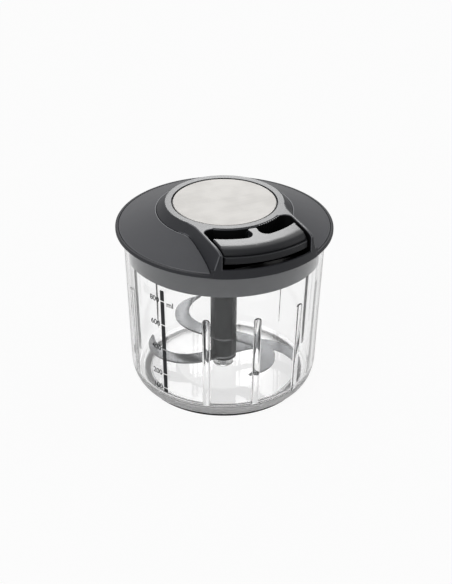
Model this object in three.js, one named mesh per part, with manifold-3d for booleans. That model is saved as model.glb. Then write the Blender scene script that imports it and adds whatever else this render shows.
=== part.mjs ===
// Pull-cord food chopper: a clear bowl, a stack of blades on a pin, and a lid that holds
// the cord reel, its recoil spring and a one-way clutch.
// Millimetres, +Z up. The origin is on the bowl's axis at the surface that it stands on.
// The grip is pulled out along -Y. Radii and "out" are measured from the axis.
import * as THREE from 'three';
import { mergeVertices } from 'three/addons/utils/BufferGeometryUtils.js';
import Module from 'manifold-3d';

const wasm = await Module();
wasm.setup();

// Shared fits
const gap = 0.3; // clearance between pieces that are cut by each other or turn in each other
const overrun = 1; // how far a cutting body runs past the face that it opens
const weld = 0.6; // how far an added boss or rib sinks into the wall that carries it
const turn = 2 * Math.PI;
const quarter = turn / 4;
const deg = turn / 360;

// Facets round a circle
const bowlSides = 48;
const drumSides = 36;
const pinSides = 12;
const hexSides = 6;
const hubSides = 24;
const postSides = 8;

// Bowl
const bowlHeight = 107.5;
const bowlWallRadius = 60.3; // outer radius where the corner ends
const bowlFlare = 3.3; // how much wider the rim is
const bowlWall = 2.4;
const cornerTopZ = 18;
const cornerWidth = 8; // how far the foot lies inside the wall
const footZ = 2.2;
const footLip = 0.4;
const groundRecess = 1.7; // how far the middle of the underside lies above the foot
const floorThickness = 4.5;
const innerCorner = 8;
const cornerSteps = 5;
const bossRadius = 6.2;
const bossHeight = 4.9;

// Grip ribs moulded inside the bowl, one place left free for the scale
const ribPlaces = 12;
const ribPlaceOfScale = 11;
const firstRibAngle = -34.5 * deg;
const ribHalfWidth = 2.5;
const ribDepth = 1.5;
const ribFootZ = 9.5;
const ribTopZ = 75.7;
const ribEndSteps = 2;
const ribSides = 8;

// Rubber ring under the bowl
const ringWidth = 8.3;

// Pin, bearing sleeve and blade stack
const pinRadius = 2;
const pinSeatDepth = 1.9; // how far the pin reaches into the bowl's floor
const pinLength = 19.5;
const pinNose = 0.8;
const sleeveWall = 1.7;
const sleeveEngagement = 3; // how far the sleeve reaches into the column
const hubRadius = 8.6;
const hubHeight = 1.6;
const bladeThickness = 1.2;
const spacerHeight = 12.4;
const columnChamfer = 1.2;
const columnClearance = 1; // between the column and the coupler's hub
const driveFlats = 10; // across the flats
const lowerTipClearance = 4.9; // from a blade's tip to the ribs
const upperTipClearance = 5.8;
const lowerBladeAngle = 96 * deg;
const upperBladeAngle = 46 * deg;
const bladeHalfWidth = 5.6;

// Lid base: collar, floor, bearing and screw posts
const collarDepth = 15.5;
const collarWall = 2;
const lidFloorInset = 2;
const lidFloorThickness = 2.5;
const bearingRadius = 9.8;
const bearingWall = 3.2;
const flangeOverhang = 2.4;
const flangeThickness = 1;
const postRadius = 4;
const postInset = 12.3; // from the collar in to the posts
const postAngles = [60, 130, 230, 300].map((a) => a * deg);

// Lid screws
const screwRadius = 1.5;
const screwHeadRadius = 3;
const screwHeadHeight = 2.2;
const screwLength = 17.2;

// Top housing
const brimOverhang = 4.8;
const brimLip = 0.6; // how far the brim stands above the web
const brimRound = 0.6;
const brimGroove = 1.9; // from the brim's outer edge to the inner wall of its lip
const webThickness = 1.8;
const drumCavityRadius = 36;
const drumWall = 2;
const housingRoof = 1.9;
const ringOuterRadius = 37.5;
const ringSlopeWidth = 5;
const ringSlopeHeight = 5;
const arborRadius = 4.6;
const housingBossRadius = 3.5;
const housingBossRoof = 1.2;

// Pocket of the grip, with its side walls and front lip
const pocketHalfWidth = 29;
const pocketCorner = 4.5;
const pocketCornerSteps = 3;
const pocketCornerBack = 6.8; // how far the back corners lie behind the front of the drum
const frontLipThickness = 1.7;
const frontLipHeight = 4.1;
const frontLean = 0.3;
const frontCornerAngle = 31 * deg;
const combRibs = 11;
const combPitch = 1.7;
const combFirst = 6;
const combRadius = 0.5;
const combDrop = 0.6;

// Dome cover
const domeEdgeHeight = 0.7;
const domeEdgeClearance = 0.2;
const domeThickness = 1.7;
const ledgeWidth = 2.5;
const ledgeHeight = 1.6;

// Steel plate
const plateRadius = 32.6;
const plateThickness = 1.3;
const plateDrop = 0.2; // how far the plate lies below the ring
const plateClearance = 0.5;

// Cord, reel and spring
const cordRadius = 1;
const windRadius = 20;
const windTurns = 3.2;
const windPitch = 2.5;
const windDrop = 2.5; // of the first turn's centre below the reel's top flange
const windStepsPerTurn = 18;
const gapSamplesPerTurn = 180;
const cordSides = 6;
const cordSteps = 24; // sections along the straight run
const reelHeadroom = 0.7;
const reelFlangeReach = 3.5;
const reelFlangeThickness = 2.4;
const reelTopThickness = 1.1;
const reelCoreWall = 2.2;
const reelCupFloor = 4.4;
const axleRadius = 2;
const axleRise = 2.2; // of the axle's foot above the coupler's disc
const springThickness = 0.5;
const springTurns = 6;
const springStepsPerTurn = 18;
const springDrop = 1.5;

// One-way clutch
const couplerInset = 1.5; // how far the coupler's cup lies inside the reel's flange
const couplerRise = 3.5; // of the coupler's disc above the lid's floor
const couplerDiscThickness = 2;
const couplerHubRadius = 9.5;
const couplerHubDrop = 0.5;
const couplerPilotRadius = 6;
const couplerPilotHeight = 1.6;
const couplerWall = 1.6;
const ratchetHeight = 4.3;
const ratchetTeeth = 24;
const ratchetDepth = 1.8;
const socketEndThickness = 1.1;
const pawlCount = 3;
const pawlReach = 6.6; // from the ratchet's tips in to the pawls' posts
const pawlPlay = 0.4;
const pawlPostRadius = 1.2;
const pawlEyeRadius = 2.6;
const pawlTipHalfWidth = 0.7;
const pawlArmShare = 0.7; // the arm's half width at the eye, as a share of the eye's radius
const clipRadius = 4.4;
const clipThickness = 0.8;

// Eyelet in the back wall of the pocket
const eyeletBore = 1.5;
const eyeletRadius = 2.9;
const eyeletFlangeRadius = 3.8;
const eyeletFlange = 1;
const eyeletMouth = 2.4; // radius of the flared mouth on the reel's side
const eyeletBendShare = 0.7; // where the cord bends in the eyelet, as a share of the wall

// Grip
const gripDrop = 0.2; // how far the grip lies below the ring
const gripUpperHeight = 3.8;
const gripLowerHeight = 4.8;
const gripSplit = 0.15; // half of the groove between the two halves
const gripFrontClearance = 0.2;
const gripFootLean = 0.4;
const gripStep = 1.9; // how far the upper half's front lies behind the lower half's
const gripUpperLean = 6.3;
const gripDepth = 16;
const gripSideClearance = 1.6;
const gripCorner = 2.2;
const neckClearance = 1.6; // from the drum to the neck's end
const neckHalfWidth = 2.5;
const neckEndHalfWidth = 3.2;
const neckWaistLength = 6.5;
const neckFillet = 5.5;
const neckSteps = 6;
const cordDrop = 0.5; // of the cord's centre below the groove between the halves
const knotInset = 2.5;
const knotRadius = 2.6;
const knotSides = 12;
const knotRings = 8;
const gripScrewSide = 19;
const gripScrewInset = 3;
const gripScrewRadius = 1.2;
const gripScrewHeadRadius = 2.4;
const gripScrewHeadHeight = 1.6;
const gripScrewCover = 1.8;

// How finely the plan outlines follow their arcs, and the shares at which a corner is cut
const longArcSteps = 8;
const shortArcSteps = 6;
const cornerThirdShare = 1 / 3;
const cornerHalfShare = 1 / 2;

// Places that follow from the sizes above, from the foot up
const bowlRimRadius = bowlWallRadius + bowlFlare;
const innerWallSlope = bowlFlare / (bowlHeight - cornerTopZ);
const footRadius = bowlWallRadius - cornerWidth;
const groundZ = footZ + groundRecess;
const floorZ = groundZ + floorThickness;
const bossTopZ = floorZ + bossHeight;
const ringFootOuter = footRadius - footLip - gap;
const ringFootInner = ringFootOuter - ringWidth;

const pinFootZ = floorZ - pinSeatDepth;
const pinTopZ = pinFootZ + pinLength;
const hubFootZ = bossTopZ + gap;
const lowerBladeZ = hubFootZ + hubHeight;
const lowerBladeTopZ = lowerBladeZ + bladeThickness;
const upperBladeZ = lowerBladeTopZ + spacerHeight;
const upperBladeTopZ = upperBladeZ + bladeThickness;
const sleeveTopZ = upperBladeTopZ + sleeveEngagement;
const sleeveBore = pinRadius + gap;
const sleeveFlats = 2 * (sleeveBore + sleeveWall);

const collarFootZ = bowlHeight - collarDepth;
const collarFootRadius = bowlInner(collarFootZ) - gap;
const collarTopRadius = bowlInner(bowlHeight) - gap;
const lidFloorZ = collarFootZ + lidFloorInset;
const lidFloorTopZ = lidFloorZ + lidFloorThickness;
const flangeRadius = bowlRimRadius + flangeOverhang;
const flangeTopZ = bowlHeight + flangeThickness;
const postCircle = collarFootRadius - postInset;
const screwHeadZ = lidFloorTopZ + gap;
const screwTipZ = screwHeadZ + screwLength;

const brimRadius = bowlRimRadius + brimOverhang;
const brimInner = brimRadius - brimGroove;
const webTopZ = flangeTopZ + webThickness;
const brimTopZ = webTopZ + brimLip;
const drumWallRadius = drumCavityRadius + drumWall;
const slopeFootRadius = ringOuterRadius + ringSlopeWidth;

const couplerDiscZ = lidFloorTopZ + couplerRise;
const couplerDiscTopZ = couplerDiscZ + couplerDiscThickness;
const couplerPilotTopZ = couplerDiscTopZ + couplerPilotHeight;
const couplerHubFootZ = lidFloorZ - couplerHubDrop;
const bearingTopZ = couplerDiscZ - gap;
const columnTopZ = couplerHubFootZ - columnClearance;
const axleFootZ = couplerDiscZ + axleRise;
const socketTopZ = axleFootZ - gap - socketEndThickness;
const driveTopZ = socketTopZ - gap;
const ratchetTopZ = couplerDiscTopZ + ratchetHeight;

const reelFootZ = ratchetTopZ + gap;
const windFootZ = reelFootZ + reelFlangeThickness + gap + cordRadius;
const windTopZ = windFootZ + windTurns * windPitch;
const reelGrooveTopZ = windTopZ + windDrop;
const reelTopZ = reelGrooveTopZ + reelTopThickness;
const reelFlangeRadius = windRadius + reelFlangeReach;
const reelCoreRadius = windRadius - cordRadius - gap;
const reelCupRadius = reelCoreRadius - reelCoreWall;
const reelCupFloorZ = reelFootZ + reelCupFloor;
const couplerRadius = reelFlangeRadius - couplerInset;
const ratchetRootRadius = couplerRadius - couplerWall;
const ratchetTipRadius = ratchetRootRadius - ratchetDepth;
const pawlCircle = ratchetTipRadius - pawlReach;
const pawlFootZ = couplerDiscTopZ + pawlPlay;
const pawlTopZ = reelFootZ - pawlPlay;
const clipZ = reelFootZ - 2 * gap - clipThickness;
const arborFootZ = reelCupFloorZ + gap;
const springFootZ = reelCupFloorZ + 2 * gap;
const springTopZ = reelTopZ - springDrop;

const cavityTopZ = reelTopZ + reelHeadroom;
const plateSeatZ = cavityTopZ + housingRoof;
const plateTopZ = plateSeatZ + plateThickness;
const ringTopZ = plateTopZ + plateDrop;
const slopeFootZ = ringTopZ - ringSlopeHeight;
const axleTopZ = plateSeatZ - 2 * gap;
const plateSeatRadius = plateRadius + plateClearance;
const housingBossTopZ = screwTipZ + housingBossRoof;
const combTopZ = ringTopZ - combDrop;

const domeInnerRadius = slopeFootRadius + gap;
const domeOuterRadius = brimInner - domeEdgeClearance;
const domeEdgeZ = webTopZ + domeEdgeHeight;
const domeSlope = (slopeFootZ - domeEdgeZ) / (domeOuterRadius - slopeFootRadius);
const domeZ = (radius) => slopeFootZ - domeSlope * (radius - slopeFootRadius);
const domeFlatRadius = slopeFootRadius + (slopeFootZ - domeThickness - webTopZ) / domeSlope;

const pocketFrontRadius = brimRadius - frontLipThickness;
const pocketCornerOut = drumWallRadius - pocketCornerBack;
const frontTopRadius = brimRadius - frontLean;
const frontLipTopZ = webTopZ + frontLipHeight;
const gripTopZ = ringTopZ - gripDrop;
const gripSplitZ = gripTopZ - gripUpperHeight;
const gripFootZ = gripSplitZ - gripLowerHeight;
const gripHalfWidth = pocketHalfWidth - gripSideClearance;
const gripLowerFrontRadius = pocketFrontRadius - gripFrontClearance;
const gripFootFrontRadius = gripLowerFrontRadius - gripFootLean;
const gripUpperFrontRadius = gripLowerFrontRadius - gripStep;
const gripTopFrontRadius = gripUpperFrontRadius - gripUpperLean;
const gripBackRadius = gripLowerFrontRadius - gripDepth;
const gripScrewOut = gripBackRadius + gripScrewInset;
const gripScrewTipZ = gripTopZ - gripScrewCover;
const neckEnd = drumWallRadius + neckClearance;
const neckWaist = gripBackRadius - neckWaistLength;
const knotOut = gripBackRadius + knotInset;
const eyeletZ = gripSplitZ - cordDrop;
const eyeletBendOut = drumCavityRadius + drumWall * eyeletBendShare;

function bowlInner(z) {
  return bowlWallRadius - bowlWall + innerWallSlope * (z - cornerTopZ);
}

// Materials, one for each sub-part
function finish(color, roughness, metalness) {
  return new THREE.MeshStandardMaterial({ color, roughness, metalness });
}
const anthracite = 0x3c3c40;
const steel = 0xe8e4e0;

// Solids
function solidOf(geometry) {
  geometry.deleteAttribute('normal');
  geometry.deleteAttribute('uv');
  const merged = mergeVertices(geometry, 1e-4);
  const vertProperties = merged.attributes.position.array;
  const triVerts = new Uint32Array(merged.index.array);
  return new wasm.Manifold(new wasm.Mesh({ numProp: 3, vertProperties, triVerts }));
}

function geometryOf(solid) {
  const mesh = solid.getMesh();
  const geometry = new THREE.BufferGeometry();
  geometry.setAttribute('position', new THREE.BufferAttribute(mesh.vertProperties, 3));
  geometry.setIndex(new THREE.BufferAttribute(mesh.triVerts, 1));
  const flat = geometry.toNonIndexed();
  flat.computeVertexNormals();
  return flat;
}

const joined = (solids) => solids.reduce((all, next) => all.add(next));
const cut = (solid, ...cutters) => cutters.reduce((rest, cutter) => rest.subtract(cutter), solid);

// A profile of [radius, z] points, counterclockwise with the radius to the right, turned round +Z.
function turned(profile, sides = drumSides) {
  const points = profile.map(([radius, z]) => new THREE.Vector2(radius, z));
  if (points[0].x > 0) points.push(points[0].clone());
  return solidOf(new THREE.LatheGeometry(points, sides).rotateX(quarter));
}

function disc(radius, fromZ, toZ, sides = pinSides) {
  return turned([[0, fromZ], [radius, fromZ], [radius, toZ], [0, toZ]], sides);
}

function tube(inner, outer, fromZ, toZ, sides = pinSides) {
  return turned([[inner, fromZ], [outer, fromZ], [outer, toZ], [inner, toZ]], sides);
}

// A hexagonal bar of the given width across flats.
function hexBar(flats, fromZ, toZ) {
  return disc(flats / 2 / Math.cos(Math.PI / hexSides), fromZ, toZ, hexSides);
}

// An outline of [x, y] points raised from one height to another.
function raised(outline, fromZ, toZ) {
  const shape = new THREE.Shape(outline.map(([x, y]) => new THREE.Vector2(x, y)));
  const geometry = new THREE.ExtrudeGeometry(shape, { depth: toZ - fromZ, bevelEnabled: false });
  return solidOf(geometry.translate(0, 0, fromZ));
}

// Rings with the same number of points, each a convex outline, skinned one to the next.
function lofted(rings) {
  const across = rings[0].length;
  const positions = rings.flat().flatMap((p) => p.toArray());
  const index = [];
  for (let r = 0; r + 1 < rings.length; r += 1) {
    for (let k = 0; k < across; k += 1) {
      const a = r * across + k;
      const b = r * across + ((k + 1) % across);
      index.push(a, b, b + across, a, b + across, a + across);
    }
  }
  const last = (rings.length - 1) * across;
  for (let k = 1; k + 1 < across; k += 1) {
    index.push(0, k + 1, k, last, last + k, last + k + 1);
  }
  const geometry = new THREE.BufferGeometry();
  geometry.setAttribute('position', new THREE.Float32BufferAttribute(positions, 3));
  geometry.setIndex(index);
  return solidOf(geometry);
}

// A point at an angle counterclockwise from -Y, seen from above.
const around = (radius, angle) => [radius * Math.sin(angle), -radius * Math.cos(angle)];

function arc(radius, from, to, steps) {
  return Array.from({ length: steps + 1 }, (_, k) => around(radius, from + ((to - from) * k) / steps));
}

// A quarter of an ellipse in a profile, from one angle to another about its centre.
function cornerPoints(centreRadius, centreZ, radiusX, radiusZ, from, to) {
  return Array.from({ length: cornerSteps + 1 }, (_, k) => {
    const a = from + ((to - from) * k) / cornerSteps;
    return [centreRadius + radiusX * Math.cos(a), centreZ + radiusZ * Math.sin(a)];
  });
}

const placed = (solid, radius, angle) => solid.translate([...around(radius, angle), 0]);

// The round bar that a section sweeps along a curve.
function swept(curve, radius, steps, sides = cordSides) {
  const section = new THREE.Shape(
    Array.from({ length: sides }, (_, k) => {
      const a = (k * turn) / sides;
      return new THREE.Vector2(radius * Math.cos(a), radius * Math.sin(a));
    }),
  );
  return solidOf(new THREE.ExtrudeGeometry(section, { steps, extrudePath: curve, bevelEnabled: false }));
}

class PathCurve extends THREE.Curve {
  constructor(pointAt) {
    super();
    this.pointAt = pointAt;
  }

  getPoint(t, target = new THREE.Vector3()) {
    return target.set(...this.pointAt(t));
  }
}

// Bowl
function bowl() {
  const grooveInner = ringFootInner - gap;
  const grooveOuter = footRadius - footLip;
  const innerFootZ = floorZ + innerCorner;
  const innerCentre = bowlInner(innerFootZ) - innerCorner;
  const pinBore = pinRadius + gap;
  const cornerHeight = cornerTopZ - footZ;
  const shell = turned([
    [0, groundZ],
    [grooveInner - footLip - gap, groundZ],
    [grooveInner - footLip, footZ],
    [grooveInner, footZ],
    [grooveInner, groundZ],
    [grooveOuter, groundZ],
    [grooveOuter, footZ],
    ...cornerPoints(footRadius, cornerTopZ, cornerWidth, cornerHeight, -quarter, 0),
    [bowlRimRadius, bowlHeight],
    [bowlInner(bowlHeight), bowlHeight],
    ...cornerPoints(innerCentre, innerFootZ, innerCorner, innerCorner, 0, -quarter),
    [bossRadius, floorZ],
    [bossRadius, bossTopZ],
    [pinBore, bossTopZ],
    [pinBore, pinFootZ - gap],
    [0, pinFootZ - gap],
  ], bowlSides);
  const ribs = [];
  for (let k = 0; k < ribPlaces; k += 1) {
    if (k !== ribPlaceOfScale) ribs.push(bowlRib(firstRibAngle + (k * turn) / ribPlaces));
  }
  return joined([shell, ...ribs]);
}

// A half-round rib with round ends, leaning with the inner wall.
function bowlRib(angle) {
  const length = ribTopZ - ribFootZ - 2 * ribHalfWidth;
  const midZ = (ribTopZ + ribFootZ) / 2;
  const capsule = new THREE.CapsuleGeometry(ribHalfWidth, length, ribEndSteps, ribSides);
  capsule.rotateX(quarter);
  capsule.scale(1, ribDepth / ribHalfWidth, 1);
  capsule.rotateX(Math.atan(innerWallSlope));
  const [x, y] = around(bowlInner(midZ), angle);
  return solidOf(capsule.rotateZ(angle).translate(x, y, midZ));
}

function antiSlipRing() {
  return tube(ringFootInner, ringFootOuter, 0, groundZ - gap, bowlSides);
}

function pivotPin() {
  return turned([
    [0, pinFootZ],
    [pinRadius, pinFootZ],
    [pinRadius, pinTopZ - pinNose],
    [pinRadius - pinNose, pinTopZ],
    [0, pinTopZ],
  ], pinSides);
}

// Blade unit
function bearingSleeve() {
  const bore = disc(sleeveBore, hubFootZ - overrun, pinTopZ + gap);
  return hexBar(sleeveFlats, hubFootZ, sleeveTopZ).subtract(bore);
}

function stackRing(fromZ, toZ) {
  const bore = hexBar(sleeveFlats + 2 * gap, fromZ - overrun, toZ + overrun);
  return disc(hubRadius, fromZ, toZ, hubSides).subtract(bore);
}

// The stations of one wing: reach share, sweep back from the root in degrees, width share.
const wingShares = [
  [0.12, 0, 1],
  [0.3, 3, 1],
  [0.5, 9, 0.98],
  [0.68, 18, 0.92],
  [0.84, 30, 0.8],
  [0.94, 41, 0.55],
  [1, 52, 0.12],
];

function bladeWing(reach, rootAngle) {
  const spine = wingShares.map(([share, sweep]) => around(reach * share, rootAngle - sweep * deg));
  const sides = [-1, 1].map((side) => spine.map((point, k) => {
    const before = spine[Math.max(k - 1, 0)];
    const after = spine[Math.min(k + 1, spine.length - 1)];
    const along = Math.hypot(after[0] - before[0], after[1] - before[1]);
    const half = (side * bladeHalfWidth * wingShares[k][2]) / along;
    return [point[0] + (after[1] - before[1]) * half, point[1] - (after[0] - before[0]) * half];
  }));
  return [...sides[1], ...sides[0].reverse()];
}

function blade(z, reach, rootAngle) {
  const topZ = z + bladeThickness;
  const wings = [0, Math.PI].map((half) => raised(bladeWing(reach, rootAngle + half), z, topZ));
  const middle = disc(hubRadius - gap, z, topZ, hubSides);
  return cut(joined([middle, ...wings]), hexBar(sleeveFlats + 2 * gap, z - overrun, topZ + overrun));
}

function bladeColumn() {
  const shaft = turned([
    [0, upperBladeTopZ],
    [hubRadius, upperBladeTopZ],
    [hubRadius, columnTopZ - columnChamfer],
    [hubRadius - columnChamfer, columnTopZ],
    [0, columnTopZ],
  ], hubSides);
  const socket = hexBar(sleeveFlats + 2 * gap, upperBladeTopZ - overrun, sleeveTopZ + gap);
  const drive = hexBar(driveFlats, columnTopZ - overrun, driveTopZ);
  return shaft.add(drive).subtract(socket);
}

// Lid
function lidBase() {
  const wallSlope = (collarTopRadius - collarFootRadius) / (bowlHeight - collarFootZ);
  const outerAt = (z) => collarFootRadius + wallSlope * (z - collarFootZ);
  const shell = turned([
    [bearingRadius, lidFloorZ],
    [outerAt(lidFloorZ) - collarWall, lidFloorZ],
    [collarFootRadius - collarWall, collarFootZ],
    [collarFootRadius, collarFootZ],
    [collarTopRadius, bowlHeight],
    [flangeRadius, bowlHeight],
    [flangeRadius, flangeTopZ],
    [collarTopRadius - collarWall, flangeTopZ],
    [outerAt(lidFloorTopZ) - collarWall, lidFloorTopZ],
    [bearingRadius + bearingWall, lidFloorTopZ],
    [bearingRadius + bearingWall, bearingTopZ],
    [bearingRadius, bearingTopZ],
  ], bowlSides);
  const post = disc(postRadius, lidFloorTopZ - weld, flangeTopZ, postSides);
  const shank = disc(screwRadius + gap, lidFloorZ - overrun, flangeTopZ + overrun, postSides);
  const head = disc(screwHeadRadius + gap, lidFloorZ - overrun, screwHeadZ + gap, postSides);
  const hole = shank.add(head);
  const posts = postAngles.map((a) => placed(post, postCircle, a));
  const holes = postAngles.map((a) => placed(hole, postCircle, a));
  return cut(joined([shell, ...posts]), ...holes);
}

function lidScrew(angle) {
  const headFootZ = screwHeadZ - screwHeadHeight;
  const screw = turned([
    [0, headFootZ],
    [screwHeadRadius, headFootZ],
    [screwHeadRadius, screwHeadZ],
    [screwRadius, screwHeadZ],
    [screwRadius, screwTipZ],
    [0, screwTipZ],
  ], postSides);
  return placed(screw, postCircle, angle);
}

// The drum, its ring, the ledge under the dome cover, the web and the brim.
function drumAndWeb() {
  const ledgeZ = domeZ(domeInnerRadius) - domeThickness - gap;
  const ledgeOuter = slopeFootRadius + ledgeWidth;
  const ledgeOuterZ = domeZ(ledgeOuter) - domeThickness - gap;
  const drumOuter = slopeFootRadius - webThickness;
  return turned([
    [0, cavityTopZ],
    [drumCavityRadius, cavityTopZ],
    [drumCavityRadius, flangeTopZ],
    [brimRadius, flangeTopZ],
    [brimRadius, brimTopZ - brimRound],
    [brimRadius - brimRound, brimTopZ],
    [brimInner + brimRound, brimTopZ],
    [brimInner, brimTopZ - brimRound],
    [brimInner, webTopZ],
    [drumOuter, webTopZ],
    [drumOuter, ledgeOuterZ - ledgeHeight],
    [ledgeOuter, ledgeOuterZ - ledgeHeight],
    [ledgeOuter, ledgeOuterZ],
    [slopeFootRadius, ledgeZ],
    [slopeFootRadius, slopeFootZ],
    [ringOuterRadius, ringTopZ],
    [plateSeatRadius, ringTopZ],
    [plateSeatRadius, plateSeatZ],
    [0, plateSeatZ],
  ], bowlSides);
}

// Stations of a pocket side wall from the ring to the front: how far out from the axis as a
// share of the brim radius, the outer edges at the top and at the foot as shares of the
// pocket's half width, and the top's height as a share of the wall's height at the ring.
const flankShares = [
  [0.14, 1.167, 1.42, 1],
  [0.26, 1.13, 1.337, 1],
  [0.32, 1.085, 1.255, 1],
  [0.37, 1.055, 1.202, 1],
  [0.48, 1.05, 1.172, 1],
  [0.68, 1.05, 1.157, 1],
  [0.79, 1.05, 1.167, 1],
  [0.87, 1.05, 1.186, 0.955],
  [0.905, 1.05, 1.196, 0.873],
  [1.02, 1.05, 1.235, 0.4],
];
const flankInnerShare = 0.82;
const drumArcShare = 0.94; // how much of the drum's arc the pocket's back wall follows

function sideWall(side) {
  const rings = flankShares.map(([outShare, topShare, footShare, heightShare]) => {
    const y = -brimRadius * outShare;
    const top = pocketHalfWidth * topShare;
    const foot = pocketHalfWidth * footShare;
    const seamZ = Math.min(domeZ(Math.hypot(foot, y)), slopeFootZ);
    const inner = pocketHalfWidth * flankInnerShare;
    const topZ = webTopZ + (ringTopZ - webTopZ) * heightShare;
    const ring = [
      [inner, webTopZ - weld],
      [foot, webTopZ - weld],
      [foot, Math.max(seamZ, webTopZ)],
      [top, topZ],
      [inner, topZ],
    ].map(([x, z]) => new THREE.Vector3(side * x, y, z));
    return side > 0 ? ring : ring.reverse();
  });
  return lofted(rings);
}

// The outer form that the side walls and the front lip are cut to.
function frontForm() {
  return turned([
    [0, flangeTopZ],
    [brimRadius, flangeTopZ],
    [brimRadius, brimTopZ],
    [frontTopRadius, ringTopZ],
    [0, ringTopZ],
  ], bowlSides);
}

// The pocket in plan: round the drum at the back, open past the brim at the front.
function pocketOutline(frontOut) {
  const cornerAngle = Math.acos(pocketCornerOut / drumWallRadius);
  const corner = Array.from({ length: pocketCornerSteps + 1 }, (_, k) => {
    const a = (quarter * k) / pocketCornerSteps;
    return [
      pocketHalfWidth - pocketCorner * (1 - Math.sin(a)),
      -pocketCornerOut - pocketCorner * (1 - Math.cos(a)),
    ];
  });
  const half = [
    ...arc(drumWallRadius, 0, cornerAngle * drumArcShare, longArcSteps),
    ...corner,
    [pocketHalfWidth, -frontOut],
  ];
  const mirrored = half.slice(1).reverse().map(([x, y]) => [-x, y]);
  return [...mirrored, ...half];
}

function topHousing() {
  const core = disc(drumCavityRadius + weld, flangeTopZ - overrun, ringTopZ + overrun, bowlSides);
  const walls = joined([sideWall(1), sideWall(-1)]).subtract(core);
  const frontBlock = raised([
    [0, 0],
    ...arc(brimRadius + overrun, -frontCornerAngle, frontCornerAngle, longArcSteps),
  ], flangeTopZ - overrun, frontLipTopZ);
  const frontRing = tube(pocketFrontRadius, brimRadius, flangeTopZ, frontLipTopZ, bowlSides);
  const lip = frontRing.intersect(frontBlock).intersect(frontForm());
  const boss = disc(housingBossRadius, webTopZ - weld, housingBossTopZ, postSides);
  const bosses = postAngles.map((a) => placed(boss, postCircle, a));
  const arbor = disc(arborRadius, arborFootZ, cavityTopZ + weld, hubSides);
  const body = joined([drumAndWeb(), walls.intersect(frontForm()), ...bosses, arbor]);
  const pocket = raised(pocketOutline(brimRadius + overrun), webTopZ, ringTopZ + overrun);
  const comb = Array.from({ length: combRibs }, (_, k) => {
    const angle = Math.asin((combFirst + k * combPitch) / drumWallRadius);
    return placed(disc(combRadius, webTopZ - weld, combTopZ, hexSides), drumWallRadius, angle);
  });
  const pilotHole = disc(screwRadius + gap, flangeTopZ - overrun, screwTipZ + gap, postSides);
  const pilotHoles = postAngles.map((a) => placed(pilotHole, postCircle, a));
  const axleBore = disc(axleRadius + gap, arborFootZ - overrun, axleTopZ + gap);
  const eyeletHole = disc(eyeletRadius + gap, drumCavityRadius - overrun, drumWallRadius + overrun)
    .rotate([90, 0, 0])
    .translate([0, 0, eyeletZ]);
  return cut(joined([body.subtract(pocket), lip, ...comb]), axleBore, eyeletHole, ...pilotHoles);
}

function domeCover() {
  const ring = turned([
    [domeInnerRadius, domeZ(domeInnerRadius) - domeThickness],
    [domeFlatRadius, webTopZ],
    [domeOuterRadius, webTopZ],
    [domeOuterRadius, domeEdgeZ],
    [domeInnerRadius, domeZ(domeInnerRadius)],
  ], bowlSides);
  const seam = flankShares.map(([outShare, , footShare]) => [
    pocketHalfWidth * footShare + gap,
    -brimRadius * outShare,
  ]);
  const notch = raised([
    ...seam.map(([x, y]) => [-x, y]).reverse(),
    [0, 0],
    ...seam,
  ], flangeTopZ, ringTopZ);
  return ring.subtract(notch);
}

function steelPlate() {
  return disc(plateRadius, plateSeatZ, plateTopZ, bowlSides);
}

function guideEyelet() {
  const flangeOut = drumWallRadius + gap;
  const ring = turned([
    [eyeletMouth, drumCavityRadius],
    [eyeletRadius, drumCavityRadius],
    [eyeletRadius, flangeOut],
    [eyeletFlangeRadius, flangeOut],
    [eyeletFlangeRadius, flangeOut + eyeletFlange],
    [eyeletBore, flangeOut + eyeletFlange],
    [eyeletBore, eyeletBendOut],
  ], pinSides);
  return ring.rotate([90, 0, 0]).translate([0, 0, eyeletZ]);
}

function reelAxle() {
  return disc(axleRadius, axleFootZ, axleTopZ);
}

// Reel, cord winding and spring
function cordReel() {
  const body = turned([
    [axleRadius + gap, reelFootZ],
    [reelFlangeRadius, reelFootZ],
    [reelFlangeRadius, reelFootZ + reelFlangeThickness],
    [reelCoreRadius, reelFootZ + reelFlangeThickness],
    [reelCoreRadius, reelGrooveTopZ],
    [reelFlangeRadius, reelGrooveTopZ],
    [reelFlangeRadius, reelTopZ],
    [reelCupRadius, reelTopZ],
    [reelCupRadius, reelCupFloorZ],
    [axleRadius + gap, reelCupFloorZ],
  ]);
  const post = disc(pawlPostRadius, pawlFootZ, reelFootZ + weld);
  return joined([body, ...pawlAngles().map((a) => placed(post, pawlCircle, a))]);
}

// Where the straight run to the eyelet leaves the winding, as an angle from +X.
const leaveAngle = -quarter - Math.acos(windRadius / eyeletBendOut);

function cordWinding() {
  const slack = gap / windRadius;
  const helix = new PathCurve((t) => {
    const a = leaveAngle - slack - t * windTurns * turn;
    return [windRadius * Math.cos(a), windRadius * Math.sin(a), windTopZ - t * windTurns * windPitch];
  });
  console.log(`cord_winding: least gap to itself ${leastGap(helix).toFixed(2)} mm`);
  return swept(helix, cordRadius, Math.round(windTurns * windStepsPerTurn));
}

// The least gap between turns of the cord, measured on points at least half a turn apart.
function leastGap(helix) {
  const points = helix.getPoints(Math.round(windTurns * gapSamplesPerTurn));
  let least = Infinity;
  points.forEach((point, k) => {
    points.slice(k + gapSamplesPerTurn / 2).forEach((other) => {
      least = Math.min(least, point.distanceTo(other) - 2 * cordRadius);
    });
  });
  return least;
}

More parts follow.
